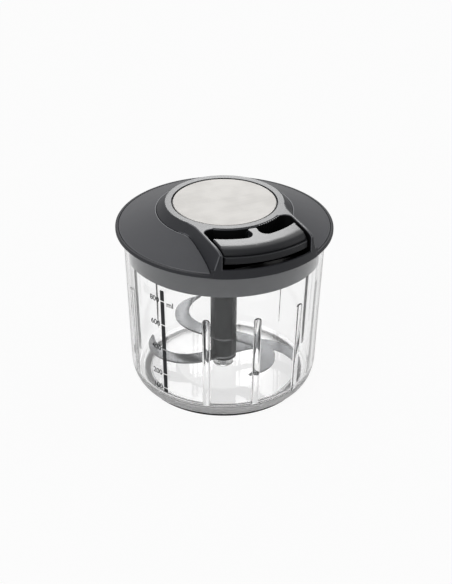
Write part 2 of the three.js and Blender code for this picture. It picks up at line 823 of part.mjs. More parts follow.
function pullCord() {
  const leave = [windRadius * Math.cos(leaveAngle), windRadius * Math.sin(leaveAngle), windTopZ];
  const bend = [0, -eyeletBendOut, eyeletZ];
  const knot = [0, -knotOut + knotRadius - gap, eyeletZ];
  const run = new THREE.CurvePath();
  const corner = new THREE.Vector3(...bend);
  const before = corner.clone().lerp(new THREE.Vector3(...leave), cordRadius / windRadius);
  const after = corner.clone().add(new THREE.Vector3(0, -cordRadius, 0));
  run.add(new THREE.LineCurve3(new THREE.Vector3(...leave), before));
  run.add(new THREE.QuadraticBezierCurve3(before, corner, after));
  run.add(new THREE.LineCurve3(after, new THREE.Vector3(...knot)));
  return swept(run, cordRadius, cordSteps);
}

function cordKnot() {
  const ball = new THREE.SphereGeometry(knotRadius, knotSides, knotRings);
  return solidOf(ball.translate(0, -knotOut - gap, eyeletZ));
}

// A flat strip wound from the arbor out to the reel's cup.
function recoilSpring() {
  const inner = arborRadius + gap + springThickness / 2;
  const outer = reelCupRadius - gap - springThickness / 2;
  const steps = springTurns * springStepsPerTurn;
  const centre = (t) => {
    const radius = inner + (outer - inner) * t;
    const a = t * springTurns * turn;
    return [radius, a];
  };
  const edge = (offset) => Array.from({ length: steps + 1 }, (_, k) => {
    const [radius, a] = centre(k / steps);
    return around(radius + offset, a);
  });
  const outline = [...edge(springThickness / 2), ...edge(-springThickness / 2).reverse()];
  return raised(outline, springFootZ, springTopZ);
}

// Clutch
function pawlAngles() {
  return Array.from({ length: pawlCount }, (_, k) => (k * turn) / pawlCount);
}

function ratchetOpening() {
  const points = [];
  for (let k = 0; k < ratchetTeeth; k += 1) {
    const a = (k * turn) / ratchetTeeth;
    points.push(around(ratchetRootRadius, a), around(ratchetTipRadius, a));
  }
  return points;
}

function driveCoupler() {
  const body = turned([
    [0, couplerHubFootZ],
    [couplerHubRadius, couplerHubFootZ],
    [couplerHubRadius, couplerDiscZ],
    [couplerRadius, couplerDiscZ],
    [couplerRadius, ratchetTopZ],
    [0, ratchetTopZ],
  ]);
  const opening = raised(ratchetOpening(), couplerDiscTopZ, ratchetTopZ + overrun);
  const pilot = disc(couplerPilotRadius, couplerDiscTopZ - weld, couplerPilotTopZ);
  const pilotBore = disc(axleRadius + gap, axleFootZ - gap, couplerPilotTopZ + overrun);
  const socket = hexBar(driveFlats + 2 * gap, couplerHubFootZ - overrun, socketTopZ);
  return body.subtract(opening).add(pilot).subtract(pilotBore).subtract(socket);
}

// One pawl: an eye on its post and an arm that trails to a ratchet tooth.
function pawl(angle) {
  const eye = placed(disc(pawlEyeRadius, pawlFootZ, pawlTopZ), pawlCircle, angle);
  const toothAngle = angle + (2 * turn) / ratchetTeeth;
  const tipRadius = ratchetTipRadius + gap;
  const tip = around(tipRadius, toothAngle - (pawlTipHalfWidth + gap) / tipRadius);
  const root = around(pawlCircle, angle);
  const along = Math.hypot(tip[0] - root[0], tip[1] - root[1]);
  const [ux, uy] = [(tip[0] - root[0]) / along, (tip[1] - root[1]) / along];
  const half = pawlEyeRadius * pawlArmShare;
  const arm = raised([
    [root[0] + uy * half, root[1] - ux * half],
    [tip[0] + uy * pawlTipHalfWidth, tip[1] - ux * pawlTipHalfWidth],
    [tip[0] - uy * pawlTipHalfWidth, tip[1] + ux * pawlTipHalfWidth],
    [root[0] - uy * half, root[1] + ux * half],
  ], pawlFootZ, pawlTopZ);
  const bore = disc(pawlPostRadius + gap, pawlFootZ - overrun, pawlTopZ + overrun);
  return eye.add(arm).subtract(placed(bore, pawlCircle, angle));
}

function reelClip() {
  const slot = raised([
    [-axleRadius, 0],
    [axleRadius, 0],
    [axleRadius, clipRadius + overrun],
    [-axleRadius, clipRadius + overrun],
  ], clipZ - overrun, clipZ + clipThickness + overrun);
  return tube(axleRadius + gap, clipRadius, clipZ, clipZ + clipThickness).subtract(slot);
}

// Grip
function gripOutline(frontRadius) {
  const filletSide = neckHalfWidth + neckFillet;
  const filletOut = Math.sqrt(gripBackRadius ** 2 - filletSide ** 2);
  const path = new THREE.Path();
  path.moveTo(neckEndHalfWidth, -neckEnd);
  path.quadraticCurveTo(neckHalfWidth, -neckEnd - neckEndHalfWidth, neckHalfWidth, -neckWaist);
  path.quadraticCurveTo(neckHalfWidth, -filletOut, filletSide, -filletOut);
  const neck = path.getPoints(neckSteps).map((p) => [p.x, p.y]);
  const backCut = gripCorner * cornerThirdShare;
  const frontCut = gripCorner * cornerHalfShare;
  const backEnd = Math.asin((gripHalfWidth - gripCorner) / gripBackRadius);
  const backStart = Math.asin(filletSide / gripBackRadius);
  const frontEnd = Math.asin((gripHalfWidth - frontCut) / frontRadius);
  const sideBack = -gripBackRadius * Math.cos(backEnd) - gripCorner;
  const sideFront = -frontRadius * Math.cos(frontEnd) + frontCut;
  const half = [
    ...neck,
    ...arc(gripBackRadius, backStart, backEnd, shortArcSteps).slice(1),
    [gripHalfWidth - backCut, sideBack + backCut],
    [gripHalfWidth, sideBack],
    [gripHalfWidth, sideFront],
    ...arc(frontRadius, frontEnd, 0, longArcSteps),
  ];
  const mirrored = half.slice(0, -1).reverse().map(([x, y]) => [-x, y]);
  return [...half, ...mirrored];
}

// A cone round the axis that gives a half of the grip its sloping front.
function frontCone(footRadius, topRadius, fromZ, toZ) {
  return turned([[0, fromZ], [footRadius, fromZ], [topRadius, toZ], [0, toZ]], bowlSides);
}

// The channel and the chamber that hold the cord and its knot between the two halves.
function cordChannel() {
  const channel = disc(eyeletBore, neckEnd - overrun, knotOut)
    .rotate([90, 0, 0])
    .translate([0, 0, eyeletZ]);
  const chamber = disc(knotRadius + gap, eyeletZ - knotRadius - gap, eyeletZ + knotRadius + gap);
  return channel.add(chamber.translate([0, -knotOut - gap, 0]));
}

function gripScrewPlaces() {
  return [-1, 1].map((side) => [side * gripScrewSide, -gripScrewOut, 0]);
}

function gripUpper() {
  const footZ = gripSplitZ + gripSplit;
  const block = raised(gripOutline(gripUpperFrontRadius), footZ, gripTopZ);
  const cone = frontCone(gripUpperFrontRadius, gripTopFrontRadius, footZ, gripTopZ);
  const hole = disc(gripScrewRadius + gap, footZ - overrun, gripScrewTipZ + gap);
  const holes = gripScrewPlaces().map((place) => hole.translate(place));
  return cut(block.intersect(cone), cordChannel(), ...holes);
}

function gripLower() {
  const topZ = gripSplitZ - gripSplit;
  const block = raised(gripOutline(gripFootFrontRadius), gripFootZ, topZ);
  const cone = frontCone(gripFootFrontRadius, gripLowerFrontRadius, gripFootZ, topZ);
  const headTopZ = gripFootZ + gap + gripScrewHeadHeight;
  const hole = disc(gripScrewRadius + gap, gripFootZ - overrun, topZ + overrun)
    .add(disc(gripScrewHeadRadius + gap, gripFootZ - overrun, headTopZ + gap));
  const holes = gripScrewPlaces().map((place) => hole.translate(place));
  return cut(block.intersect(cone), cordChannel(), ...holes);
}

function gripScrew() {
  const headZ = gripFootZ + gap;
  return turned([
    [0, headZ],
    [gripScrewHeadRadius, headZ],
    [gripScrewHeadRadius, headZ + gripScrewHeadHeight],
    [gripScrewRadius, headZ + gripScrewHeadHeight],
    [gripScrewRadius, gripScrewTipZ],
    [0, gripScrewTipZ],
  ], postSides);
}

// The assembly
const chopper = new THREE.Group();

function group(parent = chopper) {
  const made = new THREE.Group();
  parent.add(made);
  return made;
}

function node(parent, name, solid, material) {
  const mesh = new THREE.Mesh(geometryOf(solid), material);
  mesh.name = name;
  parent.add(mesh);
}

const bowlGroup = group();
node(bowlGroup, 'bowl', bowl(), finish(0xe6ebee, 0.08, 0));
node(bowlGroup, 'anti_slip_ring', antiSlipRing(), finish(0x111111, 0.8, 0));
node(bowlGroup, 'pivot_pin', pivotPin(), finish(0xc8c8c8, 0.25, 1));

const bladeGroup = group(bowlGroup);
const lowerReach = bowlInner(cornerTopZ) - ribDepth - lowerTipClearance;
const upperReach = bowlInner(upperBladeZ) - ribDepth - upperTipClearance;
const lowerBlade = blade(lowerBladeZ, lowerReach, lowerBladeAngle);
const upperBlade = blade(upperBladeZ, upperReach, upperBladeAngle);
node(bladeGroup, 'bearing_sleeve', bearingSleeve(), finish(0x8a8a88, 0.5, 0));
node(bladeGroup, 'blade_hub', stackRing(hubFootZ, lowerBladeZ), finish(0x2c2c2e, 0.4, 0));
node(bladeGroup, 'lower_blade', lowerBlade, finish(0xd0d0d0, 0.2, 1));
node(bladeGroup, 'blade_spacer', stackRing(lowerBladeTopZ, upperBladeZ), finish(0x2c2c2e, 0.4, 0));
node(bladeGroup, 'upper_blade', upperBlade, finish(0xd0d0d0, 0.2, 1));
node(bladeGroup, 'blade_column', bladeColumn(), finish(0x242426, 0.35, 0));

const lidGroup = group(bowlGroup);
node(lidGroup, 'lid_base', lidBase(), finish(0x56565a, 0.45, 0));
node(lidGroup, 'top_housing', topHousing(), finish(anthracite, 0.42, 0));
node(lidGroup, 'dome_cover', domeCover(), finish(anthracite, 0.4, 0));
node(lidGroup, 'steel_plate', steelPlate(), finish(steel, 0.3, 1));
node(lidGroup, 'guide_eyelet', guideEyelet(), finish(0x1c1c1e, 0.3, 0));
node(lidGroup, 'reel_axle', reelAxle(), finish(0xc0c0c0, 0.25, 1));
node(lidGroup, 'reel_clip', reelClip(), finish(0x707070, 0.3, 1));
postAngles.forEach((angle, k) => {
  node(lidGroup, `lid_screw_${k + 1}`, lidScrew(angle), finish(0x9a9a9a, 0.35, 1));
});

const reelGroup = group(lidGroup);
node(reelGroup, 'cord_reel', cordReel(), finish(0xd8d6cf, 0.5, 0));
node(reelGroup, 'cord_winding', cordWinding(), finish(0x202022, 0.9, 0));
node(reelGroup, 'recoil_spring', recoilSpring(), finish(0x8e9094, 0.3, 1));
pawlAngles().forEach((angle, k) => {
  node(reelGroup, `pawl_${k + 1}`, pawl(angle), finish(0xb23a2e, 0.5, 0));
});

const couplerGroup = group(lidGroup);
node(couplerGroup, 'drive_coupler', driveCoupler(), finish(0xe4e2dc, 0.5, 0));

const gripGroup = group(lidGroup);
node(gripGroup, 'grip_upper', gripUpper(), finish(anthracite, 0.4, 0));
node(gripGroup, 'grip_lower', gripLower(), finish(anthracite, 0.42, 0));
gripScrewPlaces().forEach((place, k) => {
  node(gripGroup, `grip_screw_${k + 1}`, gripScrew().translate(place), finish(0x9a9a9a, 0.35, 1));
});
node(gripGroup, 'cord_knot', cordKnot(), finish(0x202022, 0.9, 0));
node(gripGroup, 'pull_cord', pullCord(), finish(0x202022, 0.9, 0));

export default chopper;
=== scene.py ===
import math

import bmesh
import bpy
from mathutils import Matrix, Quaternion, Vector


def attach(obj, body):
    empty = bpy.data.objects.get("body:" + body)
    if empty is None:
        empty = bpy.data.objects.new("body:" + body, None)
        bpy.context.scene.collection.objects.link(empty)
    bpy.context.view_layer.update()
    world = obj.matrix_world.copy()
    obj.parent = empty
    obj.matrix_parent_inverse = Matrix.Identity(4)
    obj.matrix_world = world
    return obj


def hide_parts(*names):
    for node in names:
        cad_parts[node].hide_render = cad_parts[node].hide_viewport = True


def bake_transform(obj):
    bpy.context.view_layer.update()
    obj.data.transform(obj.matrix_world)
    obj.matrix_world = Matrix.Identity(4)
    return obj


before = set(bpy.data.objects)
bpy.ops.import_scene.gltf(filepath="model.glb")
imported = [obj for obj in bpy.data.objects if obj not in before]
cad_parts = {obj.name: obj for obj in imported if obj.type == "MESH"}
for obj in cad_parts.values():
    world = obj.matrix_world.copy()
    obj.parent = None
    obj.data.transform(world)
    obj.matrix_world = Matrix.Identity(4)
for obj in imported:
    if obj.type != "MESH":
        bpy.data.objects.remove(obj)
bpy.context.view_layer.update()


# The bowl is one clear moulding with a thick foot, ribs inside that hold the food, and a boss
# for the blade pin in its floor. It is injection moulded, so every edge is round, and the
# outer part of its underside is left frosted.
MM = 0.001
TURN = 2 * math.pi
FINE_STEPS = 192
X_AXIS = (1, 0, 0)
Z_AXIS = (0, 0, 1)
BOWL_HEIGHT = 107.5
RIM_OUTER_RADIUS = 63.6
RIM_INNER_RADIUS = 61.2
WALL_FOOT_Z = 18
WALL_FOOT_RADIUS = 60.3
WALL_LEAN = 3.3 / 89.5
WALL = 2.4
FOOT_RADIUS = 52.3
FOOT_Z = 2.2
GROUND_Z = 3.9
RING_SEAT_Z = 2.9
RING_SEAT_INNER = 48
RING_SEAT_OUTER = 51.9
FLOOR_Z = 8.4
INNER_CORNER = 6.5
BOSS_RADIUS = 6.2
BOSS_TOP_Z = 13.3
PIN_HOLE_RADIUS = 2.3
PIN_HOLE_FOOT_Z = 6.2
RIB_HALF_WIDTH = 2.5
RIB_DEPTH = 1.5
RIB_FOOT_Z = 9.5
RIB_TOP_Z = 75.7
RIB_COUNT = 11
RIB_STEP = 30
FIRST_RIB = -34.5
FROST_FROM = 26
FROST_FULL = 34


class Amount:
    """A number or colour that varies over a surface. Arithmetic on it adds Math nodes."""

    def __init__(self, finish, socket):
        self.finish = finish
        self.socket = socket

    def reckon(self, operation, first, second):
        return self.finish.add("Math", {"operation": operation}, {0: first, 1: second})

    def __add__(self, other):
        return self.reckon("ADD", self, other)

    def __sub__(self, other):
        return self.reckon("SUBTRACT", self, other)

    def __rsub__(self, other):
        return self.reckon("SUBTRACT", other, self)

    def __mul__(self, other):
        return self.reckon("MULTIPLY", self, other)

    __radd__ = __add__
    __rmul__ = __mul__


class Finish:
    """A material: the plain sockets of its shader, and the nodes that vary the others."""

    def __init__(self, name, plain):
        self.name = name
        self.material = bpy.data.materials.new(name)
        self.material.use_nodes = True
        self.tree = self.material.node_tree
        self.shader = self.tree.nodes["Principled BSDF"]
        self.feed(self.shader, plain)

    def feed(self, node, sockets):
        for name, value in sockets.items():
            if isinstance(value, Amount):
                self.tree.links.new(value.socket, node.inputs[name])
            else:
                node.inputs[name].default_value = value

    def add(self, kind, settings=None, sockets=None, output=0):
        node = self.tree.nodes.new("ShaderNode" + kind)
        for name, value in (settings or {}).items():
            setattr(node, name, value)
        self.feed(node, sockets or {})
        return Amount(self, node.outputs[output])

    def vary(self, sockets):
        self.feed(self.shader, sockets)

    def place(self):
        return self.add("TexCoord", output="Object")

    def grain(self, size, stretch=(1, 1, 1), detail=2.0):
        """Noise with blotches of about this size in mm, drawn out along the axes by stretch."""
        scale = tuple(1 / (size * MM * longer) for longer in stretch)
        placed = self.add("Mapping", {}, {"Vector": self.place(), "Scale": scale})
        return self.add("TexNoise", {}, {"Vector": placed, "Scale": 1.0, "Detail": detail})

    def along(self, axis):
        """The place along the X, Y or Z axis, in mm."""
        return self.add("SeparateXYZ", {}, {0: self.place()}, output=axis) * (1 / MM)

    def reach(self):
        """The distance from the upright axis, in mm."""
        in_plan = {0: self.place(), 1: (1 / MM, 1 / MM, 0)}
        flat = self.add("VectorMath", {"operation": "MULTIPLY"}, in_plan)
        return self.add("VectorMath", {"operation": "LENGTH"}, {0: flat}, output="Value")

    def between(self, value, low, high):
        """0 below low, 1 above high, and a soft step from one to the other."""
        limits = {"Value": value, "From Min": low, "From Max": high}
        return self.add("MapRange", {"interpolation_type": "SMOOTHSTEP"}, limits)

    def ray(self, kind):
        """1 for rays of this kind, such as those that the camera sends, and 0 for others."""
        return self.add("LightPath", output=f"Is {kind} Ray")

    def mixed(self, factor, first, second):
        """A mix of two colours. A Mix node's colours are its sockets 6 and 7, and output 2."""
        sockets = {0: factor, 6: first, 7: second}
        return self.add("Mix", {"data_type": "RGBA"}, sockets, output=2)

    def relief(self, height, depth):
        """A bump of this depth in mm."""
        return self.add("Bump", {}, {"Height": height, "Distance": depth * MM})


def tint(red, green, blue):
    """A colour as a screen shows it, 0 to 255, as the shader takes it."""
    shares = [channel / 255 for channel in (red, green, blue)]
    return tuple(((share + 0.055) / 1.055) ** 2.4 for share in shares) + (1.0,)


def closed(bm):
    """Merges what meets, and turns the faces outwards."""
    bmesh.ops.remove_doubles(bm, verts=bm.verts[:], dist=1e-6)
    bmesh.ops.recalc_face_normals(bm, faces=bm.faces[:])
    return bm


def supported(profile, near=0.25, long_side=3):
    """Adds a point near each end of a long side, so that a rounding doesn't shade the side."""
    kept = [profile[0]]
    for first, second in zip(profile, profile[1:]):
        start, end = Vector(first[:2]), Vector(second[:2])
        along = end - start
        if along.length > long_side:
            along.normalize()
            kept.append(tuple(start + along * (near + sum(first[2:]))))
            kept.append(tuple(end - along * (near + sum(second[2:]))))
        kept.append(second)
    return kept


def turned(profile, steps=FINE_STEPS):
    """An outline of (radius, height) in mm, with a rounding where a third number stands,
    spun round the upright axis."""
    profile = supported(profile)
    bm = bmesh.new()
    corners = [bm.verts.new((point[0] * MM, 0, point[1] * MM)) for point in profile]
    for first, second in zip(corners, corners[1:]):
        bm.edges.new((first, second))
    if profile[0][0] > 0:
        bm.edges.new((corners[-1], corners[0]))
    for corner, point in zip(corners, profile):
        if len(point) == 3:
            rounded_corners(bm, [corner], point[2])
    bmesh.ops.spin(
        bm, geom=bm.verts[:] + bm.edges[:], cent=(0, 0, 0), axis=Z_AXIS,
        angle=TURN, steps=steps, use_merge=True,
    )
    return closed(bm)


def rounded_corners(bm, corners, radius, segments=4):
    bmesh.ops.bevel(
        bm, geom=corners, offset=radius * MM, affect="VERTICES",
        segments=segments, profile=0.5, material=-1,
    )


def quarter(centre, width, height, start, steps=12):
    """Points on a quarter of an oval in a profile, from an angle in quarter turns."""
    angles = [(start + k / steps) * math.pi / 2 for k in range(steps + 1)]
    return [(centre[0] + width * math.cos(a), centre[1] + height * math.sin(a)) for a in angles]


def around(radius, degrees):
    """A place in plan at an angle counterclockwise from the front."""
    angle = math.radians(degrees)
    return radius * math.sin(angle), -radius * math.cos(angle)


def moved(bm, x=0, y=0, z=0):
    bmesh.ops.translate(bm, vec=(x * MM, y * MM, z * MM), verts=bm.verts[:])
    return bm


def swung(bm, axis, angle):
    """Turns a shape about an axis through the origin."""
    bmesh.ops.rotate(bm, matrix=Quaternion(axis, angle).to_matrix(), verts=bm.verts[:])
    return bm


def shown(name, data):
    """A new object in the scene."""
    made = bpy.data.objects.new(name, data)
    bpy.context.scene.collection.objects.link(made)
    return made


def evaluated(made):
    """The shape that an object comes to, as a bmesh."""
    shape = made.evaluated_get(bpy.context.evaluated_depsgraph_get())
    bm = bmesh.new()
    bm.from_mesh(shape.to_mesh())
    return bm


def combined(bm, operation, *tools):
    """Joins solids to one, cuts them from it, or keeps what it shares with them. The two empty
    slots let faces keep the mark of a rim through it."""
    made = []
    for solid in (bm, *tools):
        mesh = bpy.data.meshes.new("work")
        solid.to_mesh(mesh)
        solid.free()
        for _ in range(2):
            mesh.materials.append(None)
        made.append(shown("work", mesh))
    for tool in made[1:]:
        modifier = made[0].modifiers.new("work", "BOOLEAN")
        modifier.operation = operation
        modifier.solver = "MANIFOLD"
        modifier.object = tool
    result = evaluated(made[0])
    for work in made:
        mesh = work.data
        bpy.data.objects.remove(work)
        bpy.data.meshes.remove(mesh)
    return result


def piece(name, bm, body, finish, stands_for=(), crease=35, flats=False, rim=None):
    """Makes the object, smooth but for its creases, and sets it in the frame. Its slot holds its
    finish. Where it has flats, its roundings leave their shading even. A rim is the finish of
    its rolled edges."""
    mesh = bpy.data.meshes.new(name)
    if not rim:
        for face in bm.faces:
            face.material_index = 0
    bm.to_mesh(mesh)
    bm.free()
    mesh.polygons.foreach_set("use_smooth", [True] * len(mesh.polygons))
    mesh.set_sharp_from_angle(angle=math.radians(crease))
    mesh.materials.append(finish.material)
    if rim:
        mesh.materials.append(rim.material)
    made = shown(name, mesh)
    if flats:
        made.modifiers.new("even_flats", "WEIGHTED_NORMAL").keep_sharp = True
    if body:
        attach(made, body)
    if stands_for:
        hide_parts(*stands_for)
    return made


def wall_inner(z):
    """The radius of the wall's inside at a height. The wall widens upwards."""
    return WALL_FOOT_RADIUS - WALL + WALL_LEAN * (z - WALL_FOOT_Z)


def rib(degrees):
    """A half-round bar with round ends, sunk in the inner wall and leaning with it."""
    bm = bmesh.new()
    bmesh.ops.create_uvsphere(bm, u_segments=24, v_segments=16, radius=RIB_HALF_WIDTH * MM)
    half_length = (RIB_TOP_Z - RIB_FOOT_Z) / 2 - RIB_HALF_WIDTH
    for end in (-1, 1):
        cap = [vert for vert in bm.verts if vert.co.z * end > 1e-6]
        bmesh.ops.translate(bm, vec=(0, 0, end * half_length * MM), verts=cap)
    bmesh.ops.scale(bm, vec=(1, RIB_DEPTH / RIB_HALF_WIDTH, 1), verts=bm.verts[:])
    swung(bm, X_AXIS, math.atan(WALL_LEAN))
    mid_z = (RIB_TOP_Z + RIB_FOOT_Z) / 2
    moved(bm, 0, -wall_inner(mid_z), mid_z)
    return swung(bm, Z_AXIS, math.radians(degrees))


clear_plastic = Finish("clear_plastic", {
    "Base Color": tint(254, 254, 254),
    "Transmission Weight": 1.0,
    "IOR": 1.42,
})
clear_haze = clear_plastic.grain(6, detail=3)
underside = 1 - clear_plastic.between(clear_plastic.along("Z"), GROUND_Z + 0.05, GROUND_Z + 0.4)
frosted = underside * clear_plastic.between(clear_plastic.reach(), FROST_FROM, FROST_FULL)
clear_plastic.vary({
    "Roughness": 0.01 + clear_haze * 0.03 + frosted * 0.6,
    "Normal": clear_plastic.relief(clear_plastic.grain(14, stretch=(1, 1, 2)), 0.012),
})

inner_foot_z = FLOOR_Z + INNER_CORNER
inner_centre = wall_inner(inner_foot_z) - INNER_CORNER
foot_corner = quarter((FOOT_RADIUS, WALL_FOOT_Z), WALL_FOOT_RADIUS - FOOT_RADIUS,
                      WALL_FOOT_Z - FOOT_Z, -1)
floor_corner = quarter((inner_centre, inner_foot_z), INNER_CORNER, INNER_CORNER, -1)
bowl = turned([
    (0, GROUND_Z), (RING_SEAT_INNER - 0.7, GROUND_Z), (RING_SEAT_INNER - 0.4, FOOT_Z),
    (RING_SEAT_INNER, FOOT_Z), (RING_SEAT_INNER, RING_SEAT_Z),
    (RING_SEAT_OUTER, RING_SEAT_Z), (RING_SEAT_OUTER, FOOT_Z),
    *foot_corner,
    (RIM_OUTER_RADIUS, BOWL_HEIGHT, 0.7), (RIM_INNER_RADIUS, BOWL_HEIGHT, 0.7),
    *reversed(floor_corner),
    (BOSS_RADIUS, FLOOR_Z, 1), (BOSS_RADIUS, BOSS_TOP_Z, 0.4),
    (PIN_HOLE_RADIUS, BOSS_TOP_Z, 0.3), (PIN_HOLE_RADIUS, PIN_HOLE_FOOT_Z),
    (0, PIN_HOLE_FOOT_Z),
])
ribs = [rib(FIRST_RIB + RIB_STEP * place) for place in range(RIB_COUNT)]
bowl = combined(bowl, "UNION", *ribs)
piece("clear_bowl", bowl, "bowl_body", clear_plastic, ["bowl"])


# The scale is printed in black on the outside of the bowl, in the place without a rib. The
# bar is broken by a thin clear line at each volume, with the number beside it.
SCALE_PLACE = -61
SCALE_FOOT_Z = 14.8
SCALE_TOP_Z = 90.4
SCALE_WIDTH = 3
SCALE_MARKS = {"800": 82.7, "600": 65.5, "400": 47.3, "200": 28.8, "100": 18.1}
MARK_GAP = 0.65
NUMBER_SIZE = 5.2
NUMBER_DROP = 1.6
UNIT_DROP = 2.6
STROKE_SWELL = 0.09
PRINT_THICKNESS = 0.05

print_ink = Finish("print_ink", {"Specular IOR Level": 0.4})
ink_wear = print_ink.grain(0.5, detail=4)
print_ink.vary({
    "Base Color": print_ink.mixed(ink_wear, tint(16, 17, 19), tint(34, 36, 40)),
    "Roughness": 0.35 + ink_wear * 0.2,
})


def wall_outer(z):
    """The radius of the wall's outside at a height. Its foot is a quarter of an oval."""
    if z >= WALL_FOOT_Z:
        return WALL_FOOT_RADIUS + WALL_LEAN * (z - WALL_FOOT_Z)
    fall = (WALL_FOOT_Z - z) / (WALL_FOOT_Z - FOOT_Z)
    return FOOT_RADIUS + (WALL_FOOT_RADIUS - FOOT_RADIUS) * math.sqrt(1 - fall * fall)


def wrapped(bm):
    """Bends a flat print, drawn upright in mm, round the bowl's outer wall."""
    for vert in bm.verts:
        across, out, z = vert.co
        radius = wall_outer(z) + out
        x, y = around(radius, SCALE_PLACE + math.degrees(across / radius))
        vert.co = (x * MM, y * MM, z * MM)
    bmesh.ops.recalc_face_normals(bm, faces=bm.faces[:])
    return bm


def raised(bm, height):
    """Gives a flat shape a thickness upwards."""
    lifted = bmesh.ops.extrude_face_region(bm, geom=bm.faces[:])["geom"]
    top = [part for part in lifted if isinstance(part, bmesh.types.BMVert)]
    bmesh.ops.translate(bm, vec=(0, 0, height), verts=top)


def printed_bar(foot_z, top_z):
    """A stretch of the bar. The topmost one has rounder corners."""
    bm = bmesh.new()
    bmesh.ops.create_grid(bm, x_segments=6, y_segments=12, size=0.5)
    bmesh.ops.scale(bm, vec=(SCALE_WIDTH, top_z - foot_z, 1), verts=bm.verts[:])
    corners = [vert for vert in bm.verts if len(vert.link_edges) == 2]
    rounded = 0.4 if top_z < SCALE_TOP_Z else 1.2
    bmesh.ops.bevel(bm, geom=corners, offset=rounded, affect="VERTICES", segments=4,
                    profile=0.5, material=-1, clamp_overlap=True)
    raised(bm, PRINT_THICKNESS)
    swung(bm, X_AXIS, TURN / 4)
    bmesh.ops.translate(bm, vec=(0, PRINT_THICKNESS, (foot_z + top_z) / 2), verts=bm.verts[:])
    return bm


def printed_word(word, across, z, align):
    """A word drawn upright in mm, with strokes a little bolder than the typeface's."""
    letters = bpy.data.curves.new(word, "FONT")
    letters.body = word
    letters.size = NUMBER_SIZE
    letters.align_x = align
    letters.extrude = PRINT_THICKNESS / 2
    letters.offset = STROKE_SWELL
    drawn = shown(word, letters)
    bm = evaluated(drawn)
    bpy.data.objects.remove(drawn)
    bpy.data.curves.remove(letters)
    swung(bm, X_AXIS, TURN / 4)
    bmesh.ops.translate(bm, vec=(across, PRINT_THICKNESS / 2, z), verts=bm.verts[:])
    return bm


def gathered(parts):
    """One bmesh of several."""
    whole = bmesh.new()
    for part in parts:
        mesh = bpy.data.meshes.new("work")
        part.to_mesh(mesh)
        part.free()
        whole.from_mesh(mesh)
        bpy.data.meshes.remove(mesh)
    return whole


mark_heights = sorted(SCALE_MARKS.values())
bar_feet = [SCALE_FOOT_Z] + [z + MARK_GAP / 2 for z in mark_heights]
bar_tops = [z - MARK_GAP / 2 for z in mark_heights] + [SCALE_TOP_Z]
bars = [printed_bar(foot, top) for foot, top in zip(bar_feet, bar_tops)]
piece("scale_bar", wrapped(gathered(bars)), "bowl_body", print_ink)
numbers = [printed_word(word, -SCALE_WIDTH / 2 - 1, z - NUMBER_DROP, "RIGHT")
           for word, z in SCALE_MARKS.items()]
unit_z = SCALE_MARKS["800"] - UNIT_DROP
numbers.append(printed_word("ml", SCALE_WIDTH / 2 + 1.6, unit_z, "LEFT"))
piece("scale_numbers", wrapped(gathered(numbers)), "bowl_body", print_ink)


# The rubber ring sits in a groove under the bowl and keeps it from sliding. It is moulded in
# one piece and pressed in. It is matt, and picks up a little dust.
RUBBER_INNER = 48.3
RUBBER_OUTER = 51.6
RUBBER_LIP = 52.6
RUBBER_LIP_Z = FOOT_Z - 0.1
RUBBER_TOP_Z = RING_SEAT_Z - 0.1

black_rubber = Finish("black_rubber", {"Specular IOR Level": 0.35})
rubber_dust = black_rubber.grain(1.2, detail=5)
black_rubber.vary({
    "Base Color": black_rubber.mixed(rubber_dust, tint(14, 14, 15), tint(30, 30, 31)),
    "Roughness": 0.7 + rubber_dust * 0.2,
    "Normal": black_rubber.relief(black_rubber.grain(0.25), 0.01),
})
ring = turned([
    (RUBBER_INNER, 0, 0.5), (RUBBER_LIP, 0, 0.4), (RUBBER_LIP, RUBBER_LIP_Z, 0.3),
    (RUBBER_OUTER, RUBBER_LIP_Z), (RUBBER_OUTER, RUBBER_TOP_Z, 0.2),
    (RUBBER_INNER, RUBBER_TOP_Z, 0.2),
])
piece("rubber_ring", ring, "bowl_body", black_rubber, ["anti_slip_ring"])


# The pin that carries the blades is turned from steel rod with a blunt nose, and pressed
# into the boss of the bowl. Turning leaves fine rings round it.
PIN_RADIUS = 2
PIN_FOOT_Z = 6.5
PIN_TOP_Z = 26

plain_steel = Finish("plain_steel", {"Metallic": 1.0})
turning_marks = plain_steel.grain(0.08, stretch=(40, 40, 1))
plain_steel.vary({
    "Base Color": plain_steel.mixed(turning_marks, tint(196, 197, 200), tint(214, 214, 216)),
    "Roughness": 0.18 + turning_marks * 0.14,
    "Normal": plain_steel.relief(turning_marks, 0.003),
})
pin = turned([
    (0, PIN_FOOT_Z), (PIN_RADIUS, PIN_FOOT_Z, 0.2), (PIN_RADIUS, PIN_TOP_Z - 0.8, 0.3),
    (PIN_RADIUS - 0.8, PIN_TOP_Z, 0.2), (0, PIN_TOP_Z),
], 48)
piece("blade_pin", pin, "bowl_body", plain_steel, ["pivot_pin"])


# The blade stack turns on that pin: a hexagonal bearing sleeve, a foot ring, a spacer and
# the column, all moulded. The column ends in a hexagon that the lid's coupler drives.
HUB_RADIUS = 8.6
HUB_FOOT_Z = 13.6
LOWER_BLADE_Z = 15.2
UPPER_BLADE_Z = 28.8
BLADE_THICKNESS = 1.2
SLEEVE_FLATS = 8
SLEEVE_TOP_Z = 33
HEX_HOLE_FLATS = 8.6
COLUMN_TOP_Z = 92.5
DRIVE_FLATS = 10
DRIVE_TOP_Z = 100.5


